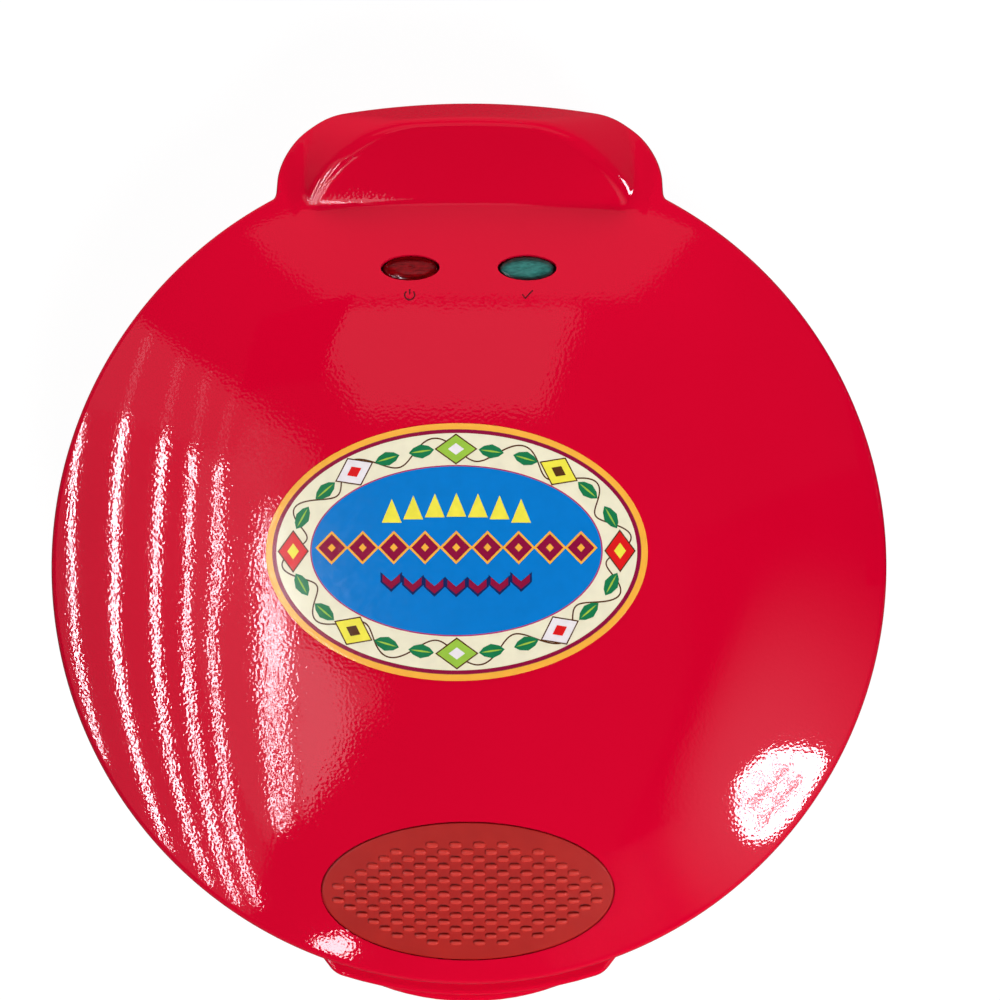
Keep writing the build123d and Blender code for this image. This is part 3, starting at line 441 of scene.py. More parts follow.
def shell_of_rings(name, top, rings, tip=None):
    """A closed mesh: a middle point on top, rings of points outwards and back underneath, and a
    point or one flat face to close it."""
    count = len(rings[0])
    last = 1 + (len(rings) - 1) * count
    points = [top, *(point for ring in rings for point in ring)]
    steps = [(i, (i + 1) % count) for i in range(count)]
    faces = [(0, 1 + i, 1 + j) for i, j in steps]
    for a in range(1, last, count):
        b = a + count
        faces += [(a + i, b + i, b + j, a + j) for i, j in steps]
    if tip is None:
        faces.append(tuple(range(last, last + count))[::-1])
    else:
        points.append(tip)
        faces += [(last + count, last + j, last + i) for i, j in steps]
    return mesh_from(name, points, faces)


def lid_shell_mesh():
    """The shell as rings of points: down the outside, round the edge and back up the inside."""
    angle = lid_columns()
    reach = lid_reach(angle)

    def ring_at(radius, z):
        return np.stack([radius * np.cos(angle), radius * np.sin(angle), z], 1)

    def ring_on(radius, drop=0.0):
        return ring_at(radius, lid_height(radius * np.cos(angle), radius * np.sin(angle)) - drop)

    # the slope just inside the edge tells where the rolled edge starts
    probe = reach - 4.0
    slope = ring_on(probe - 0.5)[:, 2] - ring_on(probe + 0.5)[:, 2]
    start_angle = np.arctan(np.clip(slope, *(tan(radians(limit)) for limit in lid_edge_slopes)))
    start = reach - lid_edge_radius * (1 - np.sin(start_angle))
    shares = [*np.linspace(0.02, 0.66, 26, endpoint=False), *np.linspace(0.66, 1.0, 84)]
    rings = [ring_on(start * share) for share in shares]
    edge_z = rings[-1][:, 2] - lid_edge_radius * np.cos(start_angle)
    for step in range(1, lid_edge_steps + 1):
        turn = start_angle + (pi / 2 - start_angle) * step / lid_edge_steps
        radius = reach - lid_edge_radius + lid_edge_radius * np.sin(turn)
        rings.append(ring_at(radius, edge_z + lid_edge_radius * np.cos(turn)))
    bottom = np.where(reach * np.sin(angle) > skirt_front_y, skirt_bottom_z, lid_bottom_z)
    inner = reach - lid_wall
    rings += [ring_at(reach, bottom + bottom_chamfer[1]), ring_at(reach - bottom_chamfer[0], bottom),
              ring_at(inner, bottom)]
    for share in (1.0, 0.97, 0.94, 0.9, 0.86, 0.8, 0.7, 0.55, 0.4, 0.25, 0.1):
        rings.append(ring_on(inner * share, lid_inner_drop))
    top_z = float(lid_height(np.array(0.0), np.array(0.0)))
    return shell_of_rings("lid_shell", (0, 0, top_z), rings, (0, 0, top_z - lid_inner_drop))


lid_shell = add_object("lid_shell", lid_shell_mesh())


def surface(name, light, dark, patch=35.0, rough=(0.2, 0.3), grain=900.0, height=0.02, metallic=0.0,
            coat=0.0, gloss=0.5, stretch=(1, 1, 1), grain_detail=2.0):
    """Two close colours in soft patches, an uneven gloss and a fine grain, in object coordinates.
    patch and grain are in cycles a metre, height in millimetres."""
    material = bpy.data.materials.new(name)
    nodes, links = node_tree(material)
    out = nodes.new("ShaderNodeOutputMaterial")
    shader = nodes.new("ShaderNodeBsdfPrincipled")
    links.new(shader.outputs[0], out.inputs["Surface"])
    shader.inputs["Metallic"].default_value = metallic
    shader.inputs["Specular IOR Level"].default_value = gloss
    shader.inputs["Coat Weight"].default_value = coat
    shader.inputs["Coat Roughness"].default_value = 0.04
    place = nodes.new("ShaderNodeTexCoord")
    mapping = nodes.new("ShaderNodeMapping")
    mapping.inputs["Scale"].default_value = stretch
    links.new(place.outputs["Object"], mapping.inputs["Vector"])

    def noise(scale, detail):
        node = nodes.new("ShaderNodeTexNoise")
        node.inputs["Scale"].default_value = scale
        node.inputs["Detail"].default_value = detail
        links.new(mapping.outputs["Vector"], node.inputs["Vector"])
        return node.outputs["Fac"]

    def spread(value, low, high):
        node = nodes.new("ShaderNodeMapRange")
        node.inputs["From Min"].default_value = 0.3
        node.inputs["From Max"].default_value = 0.7
        node.inputs["To Min"].default_value = low
        node.inputs["To Max"].default_value = high
        links.new(value, node.inputs["Value"])
        return node.outputs["Result"]

    mix = nodes.new("ShaderNodeMix")
    mix.data_type = "RGBA"
    mix.inputs["A"].default_value = (*dark, 1)
    mix.inputs["B"].default_value = (*light, 1)
    links.new(spread(noise(patch, 3.0), 0.0, 1.0), mix.inputs["Factor"])
    links.new(mix.outputs["Result"], shader.inputs["Base Color"])
    links.new(spread(noise(patch * 2.3, 4.0), rough[0], rough[1]), shader.inputs["Roughness"])
    bump = nodes.new("ShaderNodeBump")
    bump.inputs["Strength"].default_value = 1.0
    bump.inputs["Distance"].default_value = height * MM
    links.new(noise(grain, grain_detail), bump.inputs["Height"])
    links.new(bump.outputs["Normal"], shader.inputs["Normal"])
    return material


def principled(material):
    return next(node for node in material.node_tree.nodes if node.type == "BSDF_PRINCIPLED")


def finish_piece(piece, body, slot, *replaced):
    """Gives a finished piece its body and hides the CAD nodes that it stands for. Its slot is not used."""
    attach(piece, body)
    if replaced:
        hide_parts(*replaced)
    return piece


def cad_material(material, *names):
    """Gives CAD nodes their detailed material."""
    for name in names:
        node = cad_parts[name]
        if not node.data.materials:
            node.data.materials.append(material)
        for index in range(len(node.data.materials)):
            node.data.materials[index] = material


def cut(piece, cutter, material):
    """Takes the cutter's volume out of the piece; the cut faces get the material."""
    cutter.data.materials.append(material)
    modifier = piece.modifiers.new("cut", "BOOLEAN")
    modifier.operation = "DIFFERENCE"
    modifier.solver = "EXACT"
    modifier.object = cutter
    result = bpy.data.meshes.new_from_object(piece.evaluated_get(bpy.context.evaluated_depsgraph_get()))
    piece.modifiers.clear()
    piece.data = result
    bpy.data.objects.remove(cutter)


def ellipse_run(centre, half_length, half_width, segments):
    """Points of the plan along an ellipse."""
    turns = [2 * pi * i / segments for i in range(segments)]
    return [(centre[0] + half_length * cos(turn), centre[1] + half_width * sin(turn)) for turn in turns]


def over_dome(x, y, lift):
    """A point at a height over the dome's outside."""
    return (x, y, float(dome_height(math.hypot(x, y))) + lift)


def rings_over_dome(centre, half_length, half_width, profile, segments):
    """Ellipses about a centre; the profile gives each one's share of the full size and its height
    over the dome."""
    rings = []
    for share, lift in profile:
        run = ellipse_run(centre, half_length * share, half_width * share, segments)
        rings.append([over_dome(x, y, lift) for x, y in run])
    return rings


def ellipse_prism(name, centre, half_length, half_width, low, high, segments=128, ring_count=10):
    """An upright elliptic prism; low and high are its ends' heights over the dome."""
    shares = [k / ring_count for k in range(1, ring_count + 1)]
    profile = [(share, high) for share in shares] + [(share, low) for share in reversed(shares)]
    rings = rings_over_dome(centre, half_length, half_width, profile, segments)
    return add_object(name, shell_of_rings(name, over_dome(*centre, high), rings, over_dome(*centre, low)))


def smooth(piece, sharp_angle=35.0):
    """Smooth shading, but for edges sharper than the angle in degrees."""
    piece.data.shade_smooth()
    piece.data.set_sharp_from_angle(angle=radians(sharp_angle))


red_plastic = surface("red_plastic", red_plastic_colour, red_plastic_shade, patch=14.0, rough=(0.03, 0.05),
                      grain=1000.0, height=0.018, grain_detail=0.0)
pad_y = -112.7
pad_half_length = 48.9
pad_half_width = 23.25
pad_depth = 1.4
pad_seam = 0.25
lamp_x = 20.1
lamp_y = 98.3
lens_half_length = 9.8
lens_half_width = 4.4
lens_gap = 0.35
window_depth = 12.0
cutter_top = 6.0

# the pad recess's cut walls are the lid's red plastic painted dark: painted shade in the recess
painted_recess_shade = surface("recess_painted_shade", (0.20, 0.001, 0.008), (0.12, 0.001, 0.005), patch=60.0, rough=(0.3, 0.4))
lid_shell.data.materials.append(red_plastic)
cut(lid_shell, ellipse_prism("pad_recess", (0, pad_y), pad_half_length + pad_seam, pad_half_width + pad_seam,
                             -pad_depth, cutter_top), painted_recess_shade)
for side in (-1, 1):
    cut(lid_shell, ellipse_prism("lamp_window", (side * lamp_x, lamp_y), lens_half_length + lens_gap,
                                 lens_half_width + lens_gap, -window_depth, cutter_top, 64), red_plastic)
smooth(lid_shell, 28.0)
finish_piece(lid_shell, "lid", "red_plastic", "lid_cover")

# ---------------------------------------------------------------- grip pad
# A soft-touch insert in matte brick red lies flush in the lid's front: an oval with a rounded edge
# and rows of small oblong pips, staggered like bricks, that keep fingers from slipping.
pad_colour = (0.38, 0.011, 0.007)
pad_shade = (0.34, 0.009, 0.006)
# the pips are the pad's own material painted a lighter red: painted light on their raised faces
pip_lit_colour = (0.55, 0.036, 0.026)
pip_lit_shade = (0.50, 0.030, 0.021)
pad_edge_inset = 0.02         # share of the pad's size that its rounded edge takes
pad_edge_drop = 0.6
pad_clearance = 0.05
pip_pitch = 7.85
pip_row_pitch = 2.35
pip_drop = 0.7
pip_length = 4.0
pip_width = 1.75
pip_height = 0.95
pip_counts = (4, 7, 8, 9, 10, 11, 12, 11, 12, 11, 10, 9, 8, 7, 4)
soft_pad = surface("soft_pad", pad_colour, pad_shade, patch=120.0, rough=(0.5, 0.62), gloss=0.18,
                   grain=2600.0, height=0.02)


def pad_mesh():
    """The insert: its face follows the dome, turns down at the edge and comes back underneath."""
    middle = (0, pad_y)
    underside = pad_clearance - pad_depth
    profile = [(share, 0.0) for share in np.linspace(0.06, 0.97, 26)]
    for turn in np.linspace(0.2, pi / 2, 6):
        profile.append((1 - pad_edge_inset * (1 - sin(turn)), -pad_edge_drop * (1 - cos(turn))))
    profile += [(1.0, underside), (0.9, underside), (0.5, underside)]
    rings = rings_over_dome(middle, pad_half_length, pad_half_width, profile, 180)
    return shell_of_rings("grip_pad", over_dome(*middle, 0), rings, over_dome(*middle, underside))


grip_pad = add_object("grip_pad_insert", pad_mesh())
grip_pad.data.materials.append(soft_pad)
smooth(grip_pad, 60.0)
finish_piece(grip_pad, "lid", "soft_pad", "grip_pad")


def new_group(name, inputs):
    """A Geometry Nodes tree with a geometry result and named inputs."""
    tree = bpy.data.node_groups.new(name, "GeometryNodeTree")
    tree.interface.new_socket("Geometry", in_out="INPUT", socket_type="NodeSocketGeometry")
    tree.interface.new_socket("Geometry", in_out="OUTPUT", socket_type="NodeSocketGeometry")
    for label, kind in inputs:
        tree.interface.new_socket(label, in_out="INPUT", socket_type=kind)
    return tree, tree.nodes.new("NodeGroupInput"), tree.nodes.new("NodeGroupOutput")


def run_group(obj, tree, values):
    """Sets the tree's inputs by their identifiers, applies it and leaves a plain mesh."""
    modifier = obj.modifiers.new("repeat", "NODES")
    modifier.node_group = tree
    for item in tree.interface.items_tree:
        if item.item_type == "SOCKET" and item.in_out == "INPUT" and item.name in values:
            modifier[item.identifier] = values[item.name]
    obj.update_tag()
    result = bpy.data.meshes.new_from_object(obj.evaluated_get(bpy.context.evaluated_depsgraph_get()))
    obj.modifiers.clear()
    obj.data = result


def dome_normal(x, y, step=0.05):
    """The direction that faces away from the dome at a point of the plan."""
    dx = (dome_height(math.hypot(x + step, y)) - dome_height(math.hypot(x - step, y))) / (2 * step)
    dy = (dome_height(math.hypot(x, y + step)) - dome_height(math.hypot(x, y - step))) / (2 * step)
    return Vector((-float(dx), -float(dy), 1)).normalized()


def pip_seed_mesh():
    """One point a pip, laid in staggered rows that follow the dome."""
    points = []
    for row, count in enumerate(pip_counts):
        y = pad_y - pip_drop + (len(pip_counts) // 2 - row) * pip_row_pitch
        for k in range(count):
            points.append(over_dome((k - (count - 1) / 2) * pip_pitch, y, 0))
    return mesh_from("pips", points, [])


def template_mesh(name, points, faces):
    """A shape to be repeated, in millimetres about its own middle."""
    return mesh_from(name, [(x, y - plate_centre_y, z) for x, y, z in points], faces)


def pip_shape():
    """One pip: an oblong cushion with a rounded top."""
    points, faces, segments = [], [], 20
    levels = [(1.0, -0.3), (1.0, 0.25), (0.93, 0.55), (0.78, 0.82), (0.5, 0.97)]
    for share, rise in levels:
        for i in range(segments):
            turn = 2 * pi * i / segments
            c, s = cos(turn), sin(turn)
            x = pip_length / 2 * share * math.copysign(abs(c) ** 0.6, c)
            y = pip_width / 2 * share * math.copysign(abs(s) ** 0.8, s)
            points.append((x, y, rise * pip_height))
    for k in range(len(levels) - 1):
        for i in range(segments):
            j = (i + 1) % segments
            a, b = k * segments, (k + 1) * segments
            faces.append((a + i, a + j, b + j, b + i))
    faces.append(tuple(range((len(levels) - 1) * segments, len(levels) * segments)))
    faces.append(tuple(range(segments))[::-1])
    return template_mesh("pip", points, faces)


def instance_group(name):
    """Copies one shape to each point; its top faces the point's normal and its length runs along."""
    inputs = [("Shape", "NodeSocketObject"), ("Material", "NodeSocketMaterial")]
    tree, source, result = new_group(name, inputs)
    nodes, links = tree.nodes, tree.links
    info = nodes.new("GeometryNodeObjectInfo")
    links.new(source.outputs["Shape"], info.inputs["Object"])
    facing, along = (nodes.new("GeometryNodeInputNamedAttribute") for _ in range(2))
    for direction, label in ((facing, "facing"), (along, "along")):
        direction.data_type = "FLOAT_VECTOR"
        direction.inputs["Name"].default_value = label
    upright = nodes.new("FunctionNodeAlignRotationToVector")
    upright.axis = "Z"
    links.new(facing.outputs["Attribute"], upright.inputs["Vector"])
    align = nodes.new("FunctionNodeAlignRotationToVector")
    align.axis = "X"
    align.pivot_axis = "Z"
    links.new(upright.outputs["Rotation"], align.inputs["Rotation"])
    links.new(along.outputs["Attribute"], align.inputs["Vector"])
    place = nodes.new("GeometryNodeInstanceOnPoints")
    links.new(source.outputs["Geometry"], place.inputs["Points"])
    links.new(info.outputs["Geometry"], place.inputs["Instance"])
    links.new(align.outputs["Rotation"], place.inputs["Rotation"])
    real = nodes.new("GeometryNodeRealizeInstances")
    links.new(place.outputs["Instances"], real.inputs["Geometry"])
    paint = nodes.new("GeometryNodeSetMaterial")
    links.new(real.outputs["Geometry"], paint.inputs["Geometry"])
    links.new(source.outputs["Material"], paint.inputs["Material"])
    links.new(paint.outputs["Geometry"], result.inputs["Geometry"])
    return tree


def repeat(name, seeds, facings, shape, material, tree, alongs=None):
    """An object made of one shape repeated at each seed point, facing and running as the lists say."""
    obj = add_object(name, seeds)
    for label, vectors in (("facing", facings), ("along", alongs or [(1, 0, 0)] * len(facings))):
        layer = seeds.attributes.new(label, "FLOAT_VECTOR", "POINT")
        layer.data.foreach_set("vector", [c for v in vectors for c in v])
    template = add_object(name + "_shape", shape)
    run_group(obj, tree, {"Shape": template, "Material": material})
    bpy.data.objects.remove(template)
    return obj


repeat_tree = instance_group("repeat_on_points")
pip_seeds = pip_seed_mesh()
pip_facings = [dome_normal(v.co.x / MM, v.co.y / MM - plate_centre_y) for v in pip_seeds.vertices]
# a lighter copy of the pad's material, as painted light on the pips
lit_soft_pips = surface("lit_soft_pips", pip_lit_colour, pip_lit_shade, patch=120.0, rough=(0.45, 0.55), gloss=0.2,
                    grain=2600.0, height=0.02)
pips = repeat("grip_pips", pip_seeds, pip_facings, pip_shape(), lit_soft_pips, repeat_tree)
smooth(pips, 50.0)
finish_piece(pips, "lid", "soft_pad")

# ---------------------------------------------------------------- indicator lenses
# Two clear-tinted plastic lenses, dark red and green, sit a little below the lid's surface in oval
# windows. Each is one moulding with a domed face, held from below.
lens_sink = 0.9
lens_bulge = 1.5
lens_end_gap = 0.35
lens_side_fill = 0.2
lens_middle = 1.0             # height of the face's middle point, a little lower than the face round it
lens_bow = 0.97
lens_edge = [(0.15, 0), (0.3, 0), (0.45, 0), (0.6, 0), (0.75, 0), (0.86, 0), (0.94, 0), (0.98, 0.08),
             (1.0, 0.3), (1.0, 3.0)]     # shares of the size, and how far the edge turns down there


def lens_mesh(side):
    """One lens: a domed face whose edge turns down into the window."""
    centre = (side * lamp_x, lamp_y)
    half_length, half_width = lens_half_length - lens_end_gap, lens_half_width + lens_side_fill
    base = -lens_sink - lens_bulge
    profile = [(share, base + lens_bulge * sqrt(max(0.0, 1 - (share * lens_bow) ** 2)) - drop)
               for share, drop in lens_edge]
    rings = rings_over_dome(centre, half_length, half_width, profile, 64)
    return shell_of_rings("lens", over_dome(*centre, base + lens_middle), rings)


def lens_material(name, light, dark):
    """Tinted clear plastic over a ribbed diffuser."""
    material = surface(name, light, dark, patch=900.0, rough=(0.05, 0.09), grain=1500.0, height=0.02,
                       gloss=0.4, stretch=(0.5, 1.6, 1))
    principled(material).inputs["IOR"].default_value = 1.52
    return material


for side, name, light, dark in ((-1, "power", (0.26, 0.001, 0.004), (0.12, 0.0006, 0.002)),
                                (1, "ready", (0.040, 0.21, 0.185), (0.018, 0.105, 0.092))):
    lens = add_object(f"{name}_lens_cap", lens_mesh(side))
    lens.data.materials.append(lens_material(f"{name}_lens", light, dark))
    smooth(lens, 50.0)
    finish_piece(lens, "lid", "red_lens" if side < 0 else "green_lens", f"{name}_lens")

# ---------------------------------------------------------------- label
# A printed film, die-cut to an oval and stuck to the dome: a blue field in a cream band with a
# maroon line and a yellow edge. Its pattern is a plain one, of diamonds, lozenges, triangles,
# chevrons and a wavy line.
label_centre = (-3.7, 0.2)
label_half_length = 63.9
label_half_width = 43.1
field_centre = (-3.8, 0.4)
field_half_length = 48.4
field_half_width = 28.2
label_lift = 0.20
label_segments = 240
label_shares = [*np.linspace(0.1, 1.0, 10), 1.03, 1.2, 1.4, 1.6, 1.77, 1.86, 1.93, 1.995]
label_bevel = 0.03
label_underside = 0.03
print_foot = -0.08            # printed patches start a little inside the film
label_colours = {
    "blue": (0.002, 0.19, 0.60), "line": (0.42, 0.03, 0.12), "cream": (0.86, 0.80, 0.60),
    "maroon": (0.27, 0.006, 0.045), "yellow": (0.93, 0.44, 0.055),
}
label_bands = [(1.0, "blue"), (1.03, "line"), (1.77, "cream"), (1.86, "maroon"), (2.0, "yellow")]
label_print = {
    name: surface(f"label_{name}", colour, tuple(0.93 * c for c in colour), patch=220.0, rough=(0.12, 0.2),
                  grain=1500.0, height=0.003)
    for name, colour in label_colours.items()
}


def label_point(share, turn):
    """A point of the label: shares up to 1 span the blue field, 1 to 2 the band round it."""
    c, s = cos(turn), sin(turn)
    inner = (field_centre[0] + field_half_length * c, field_centre[1] + field_half_width * s)
    if share <= 1:
        return tuple(m + (p - m) * share for p, m in zip(inner, field_centre))
    outer = (label_centre[0] + label_half_length * c, label_centre[1] + label_half_width * s)
    return tuple(p + (q - p) * (share - 1) for p, q in zip(inner, outer))


def label_mesh():
    """The film: rings of faces over the dome and back underneath, each in its band's colour."""
    levels = [(share, label_lift) for share in label_shares]
    levels.append((2.0, label_lift - label_bevel))
    levels += [(share, label_underside) for share in (2.0, 1.6, 1.2, 0.8, 0.4)]
    turns = [2 * pi * i / label_segments for i in range(label_segments)]
    rings = [[over_dome(*label_point(share, turn), lift) for turn in turns] for share, lift in levels]
    middle = label_point(0, 0)
    mesh = shell_of_rings("label", over_dome(*middle, label_lift), rings, over_dome(*middle, label_underside))
    edge_ink = len(label_bands) - 1
    inks = [0]
    for (inner, _), (outer, lift) in zip(levels, levels[1:]):
        band = next(n for n, (limit, _) in enumerate(label_bands) if max(inner, outer) <= limit + 1e-6)
        inks.append(band if lift == label_lift else edge_ink)
    inks.append(edge_ink)
    for _, name in label_bands:
        mesh.materials.append(label_print[name])
    mesh.polygons.foreach_set("material_index", [index for index in inks for _ in range(label_segments)])
    return mesh


label = add_object("label_film", label_mesh())
smooth(label, 40.0)
finish_piece(label, "lid", "printed_label", "label")


def flat_shape(outline, top):
    """A thin printed patch to be repeated: its outline is in millimetres about its own middle."""
    count = len(outline)
    points = [(x, y, z) for z in (print_foot, top) for x, y in outline]
    faces = [tuple(range(count))[::-1], tuple(range(count, 2 * count))]
    faces += [(i, (i + 1) % count, count + (i + 1) % count, count + i) for i in range(count)]
    return template_mesh("patch", points, faces)


def diamond(half_length, half_width):
    return [(half_length, 0), (0, half_width), (-half_length, 0), (0, -half_width)]


def lozenge(half_length, half_width):
    share = [(1, 0), (0.62, 0.62), (0, 1), (-0.62, 0.62), (-1, 0), (-0.62, -0.62), (0, -1), (0.62, -0.62)]
    return [(half_length * x, half_width * y) for x, y in share]


def print_row(name, places, outline, ink, top, alongs=None):
    """One colour of the printed pattern: the same patch at each place on the label."""
    seeds = mesh_from(name, [over_dome(x, y, label_lift) for x, y in places], [])
    facings = [dome_normal(x, y) for x, y in places]
    row = repeat(name, seeds, facings, flat_shape(outline, top), ink, repeat_tree, alongs)
    return finish_piece(row, "lid", "printed_label")


def ink(name, colour):
    """A printed colour, a little uneven."""
    return surface(name, colour, tuple(0.9 * c for c in colour), patch=300.0, rough=(0.12, 0.2),
                   grain=1500.0, height=0.003)


ink_green = ink("label_green", (0.012, 0.19, 0.07))
ink_lime = ink("label_lime", (0.33, 0.56, 0.06))
ink_red = ink("label_red", (0.74, 0.012, 0.014))
ink_white = ink("label_white", (0.86, 0.80, 0.83))
ink_navy = ink("label_navy", (0.008, 0.02, 0.11))
ink_dark = ink("label_dark", (0.10, 0.035, 0.012))
ink_lemon = ink("label_lemon", (0.90, 0.80, 0.07))

band_share = 1.40
band_count = 24
band_samples = 1440
band_run = [label_point(band_share, 2 * pi * k / band_samples) for k in range(band_samples + 1)]
band_steps = [math.dist(p, q) for p, q in zip(band_run, band_run[1:])]
band_length = sum(band_steps)
band_places, band_alongs, travelled, wanted = [], [], 0.0, 0.0
for k, step in enumerate(band_steps):
    if travelled >= wanted and len(band_places) < band_count:
        (x0, y0), (x1, y1) = band_run[k], band_run[k + 1]
        band_places.append(band_run[k])
        band_alongs.append(((x1 - x0) / step, (y1 - y0) / step, 0))
        wanted += band_length / band_count
    travelled += step
print_row("label_diamond_rims", band_places[::3], diamond(7.2, 5.3), ink_dark, 0.025, band_alongs[::3])
diamond_inks = ((ink_red, ink_lemon), (ink_lemon, ink_dark), (ink_lime, ink_white), (ink_white, ink_red))
for number, (fill, middle) in enumerate(diamond_inks):
    places, alongs = band_places[3 * number::12], band_alongs[3 * number::12]
    print_row(f"label_diamonds_{number + 1}", places, diamond(6.5, 4.75), fill, 0.045, alongs)
    print_row(f"label_centres_{number + 1}", places, diamond(2.7, 2.0), middle, 0.06, alongs)
small_places = [band_places[k] for k in range(band_count) if k % 3]
small_alongs = [band_alongs[k] for k in range(band_count) if k % 3]
print_row("label_lozenges", small_places, lozenge(4.3, 2.4), ink_green, 0.03, small_alongs)
print_row("label_lozenge_lines", small_places, lozenge(3.5, 0.3), ink_lime, 0.05, small_alongs)

belt = [(field_centre[0] + 10.4 * k, 1.3) for k in range(-4, 5)]
print_row("label_belt_rims", belt, diamond(5.5, 5.6), label_print["yellow"], 0.025)
print_row("label_belt_diamonds", belt, diamond(4.5, 4.6), label_print["maroon"], 0.045)
print_row("label_belt_centres", belt, diamond(1.3, 1.4), label_print["yellow"], 0.06)
upper = [(field_centre[0] + 7.2 * k, 15.2 - 0.22 * k * k) for k in range(-3, 4)]
print_row("label_rays", upper, [(-3.3, -3.6), (3.3, -3.6), (0, 4.4)], ink_lemon, 0.03)
lower = [(field_centre[0] + 7.2 * k, -11.6 + 0.2 * k * k) for k in range(-3, 4)]
chevron = [(-3.2, 2.6), (0, -0.2), (3.2, 2.6), (3.2, -0.3), (0, -3.2), (-3.2, -0.3)]
print_row("label_chevron_rims", lower, [(1.13 * x, 1.16 * y) for x, y in chevron], ink_navy, 0.025)
print_row("label_chevrons", lower, [(0.9 * x, 0.84 * y) for x, y in chevron], label_print["maroon"], 0.045)


def outward(mesh):
    """Turns the faces of a closed mesh outwards."""
    work = bmesh.new()
    work.from_mesh(mesh)
    bmesh.ops.recalc_face_normals(work, faces=work.faces)
    work.to_mesh(mesh)
    work.free()
    return mesh


def ribbon_mesh(name, path, width, low, top, closed=False):
    """A thin printed line along points of the plan, draped on the dome."""
    count = len(path)
    points, faces = [], []
    for k, (x, y) in enumerate(path):
        before = path[k - 1] if closed or k else path[k]
        after = path[(k + 1) % count] if closed or k < count - 1 else path[k]
        run = Vector((after[0] - before[0], after[1] - before[1])).normalized()
        off = (-run.y * width / 2, run.x * width / 2)
        for sign, lift in ((1, low), (1, top), (-1, top), (-1, low)):
            points.append(over_dome(x + sign * off[0], y + sign * off[1], lift))
    for k in range(count if closed else count - 1):
        a, b = 4 * k, 4 * ((k + 1) % count)
        faces += [(a + i, b + i, b + (i + 1) % 4, a + (i + 1) % 4) for i in range(4)]
    if not closed:
        faces += [(0, 1, 2, 3), (4 * count - 1, 4 * count - 2, 4 * count - 3, 4 * count - 4)]
    return outward(mesh_from(name, points, faces))


wave_count = 12
wave_height = 0.27
wave_turns = np.linspace(0, 2 * pi, 900, endpoint=False)
wave = [label_point(band_share + wave_height * sin(wave_count * turn), turn) for turn in wave_turns]
wave_mesh = ribbon_mesh("wave_line", wave, width=0.5, low=0.12, top=0.215, closed=True)
wave_line = add_object("label_wave_line", wave_mesh)
wave_line.data.materials.append(ink_dark)
finish_piece(wave_line, "lid", "printed_label")

# ---------------------------------------------------------------- lamp symbols
# Small dark symbols are printed on the lid below the lamps: an on sign under the red lens, and a
# tick under the green one.
symbol_y = 88.3
symbol_size = 1.7
symbol_width = 0.5
symbol_ink = ink("symbol_ink", (0.10, 0.002, 0.006))


def symbol(name, centre, strokes):
    """One printed sign, made of strokes; a stroke is points in shares of the sign's size."""
    work = bmesh.new()
    for stroke in strokes:
        path = [(centre[0] + symbol_size * x, centre[1] + symbol_size * y) for x, y in stroke]
        work.from_mesh(ribbon_mesh(name, path, symbol_width, low=-0.05, top=0.02))
    mesh = bpy.data.meshes.new(name)
    work.to_mesh(mesh)
    work.free()
    sign = add_object(name, mesh)
    mesh.materials.append(symbol_ink)
    return finish_piece(sign, "lid", "printed_label")


ring = [(sin(t), cos(t)) for t in np.linspace(radians(42), radians(318), 40)]
symbol("on_symbol", (-lamp_x, symbol_y), [ring, [(0, 1.25), (0, 0.1)]])
symbol("tick_symbol", (lamp_x, symbol_y), [[(-1.0, 0.1), (-0.35, -0.75)], [(-0.45, -0.75), (1.1, 1.0)]])

# ---------------------------------------------------------------- hinge knuckles of the lid
# Two tubes of red plastic, part of the lid's moulding, turn on the hinge pins. Two ribs hang each
# tube from the hump's roof.
hinge_y = 150.0
hinge_z = 54.0
knuckle_radius = 7.0
knuckle_bore = 2.58
knuckle_ends = (5.0, 19.0)
knuckle_chamfer = 0.4
knuckle_segments = 48
rib_thickness = 3.0
rib_steps = 12
rib_inset = 0.3               # the ribs are a little narrower than the tube
rib_foot = 0.9                # they start inside the tube, at this share of its height
rib_lap = 1.6                 # and end this far inside the lid's wall


def knuckle_tube(side):
    """One bored tube with chamfered ends."""
    x0, x1 = (side * x for x in knuckle_ends)
    slim = knuckle_radius - knuckle_chamfer
    profile = [(x0, knuckle_bore), (x0, slim), (x0 + side * knuckle_chamfer, knuckle_radius),
               (x1 - side * knuckle_chamfer, knuckle_radius), (x1, slim), (x1, knuckle_bore)]
    points, faces = [], []
    for x, radius in profile:
        points += [(x, y, z) for y, z in ellipse_run((hinge_y, hinge_z), radius, radius, knuckle_segments)]
    for k in range(len(profile)):
        a, b = k * knuckle_segments, (k + 1) % len(profile) * knuckle_segments
        for i in range(knuckle_segments):
            j = (i + 1) % knuckle_segments
            faces.append((a + i, b + i, b + j, a + j))
    return points, faces


def knuckle_rib(side, x):
    """One rib, which hangs the tube from the hump's roof."""
    points, faces = [], []
    for edge in (x, x + side * rib_thickness):
        for k in range(rib_steps + 1):
            off = (2 * k / rib_steps - 1) * (knuckle_radius - rib_inset)
            y = hinge_y + off
            roof = float(lid_height(np.array(edge), np.array(y))) - rib_lap
            foot = hinge_z + rib_foot * sqrt(knuckle_radius**2 - off**2)
            points += [(edge, y, foot), (edge, y, roof)]
    row = 2 * (rib_steps + 1)
    for low in range(0, row - 2, 2):
        high = low + 1
        faces += [(low, high, high + 2, low + 2), (row + low, row + low + 2, row + high + 2, row + high),
                  (low, low + 2, row + low + 2, row + low), (high, row + high, row + high + 2, high + 2)]
    faces += [(0, row, row + 1, 1), (row - 2, row - 1, 2 * row - 1, 2 * row - 2)]
    return points, faces


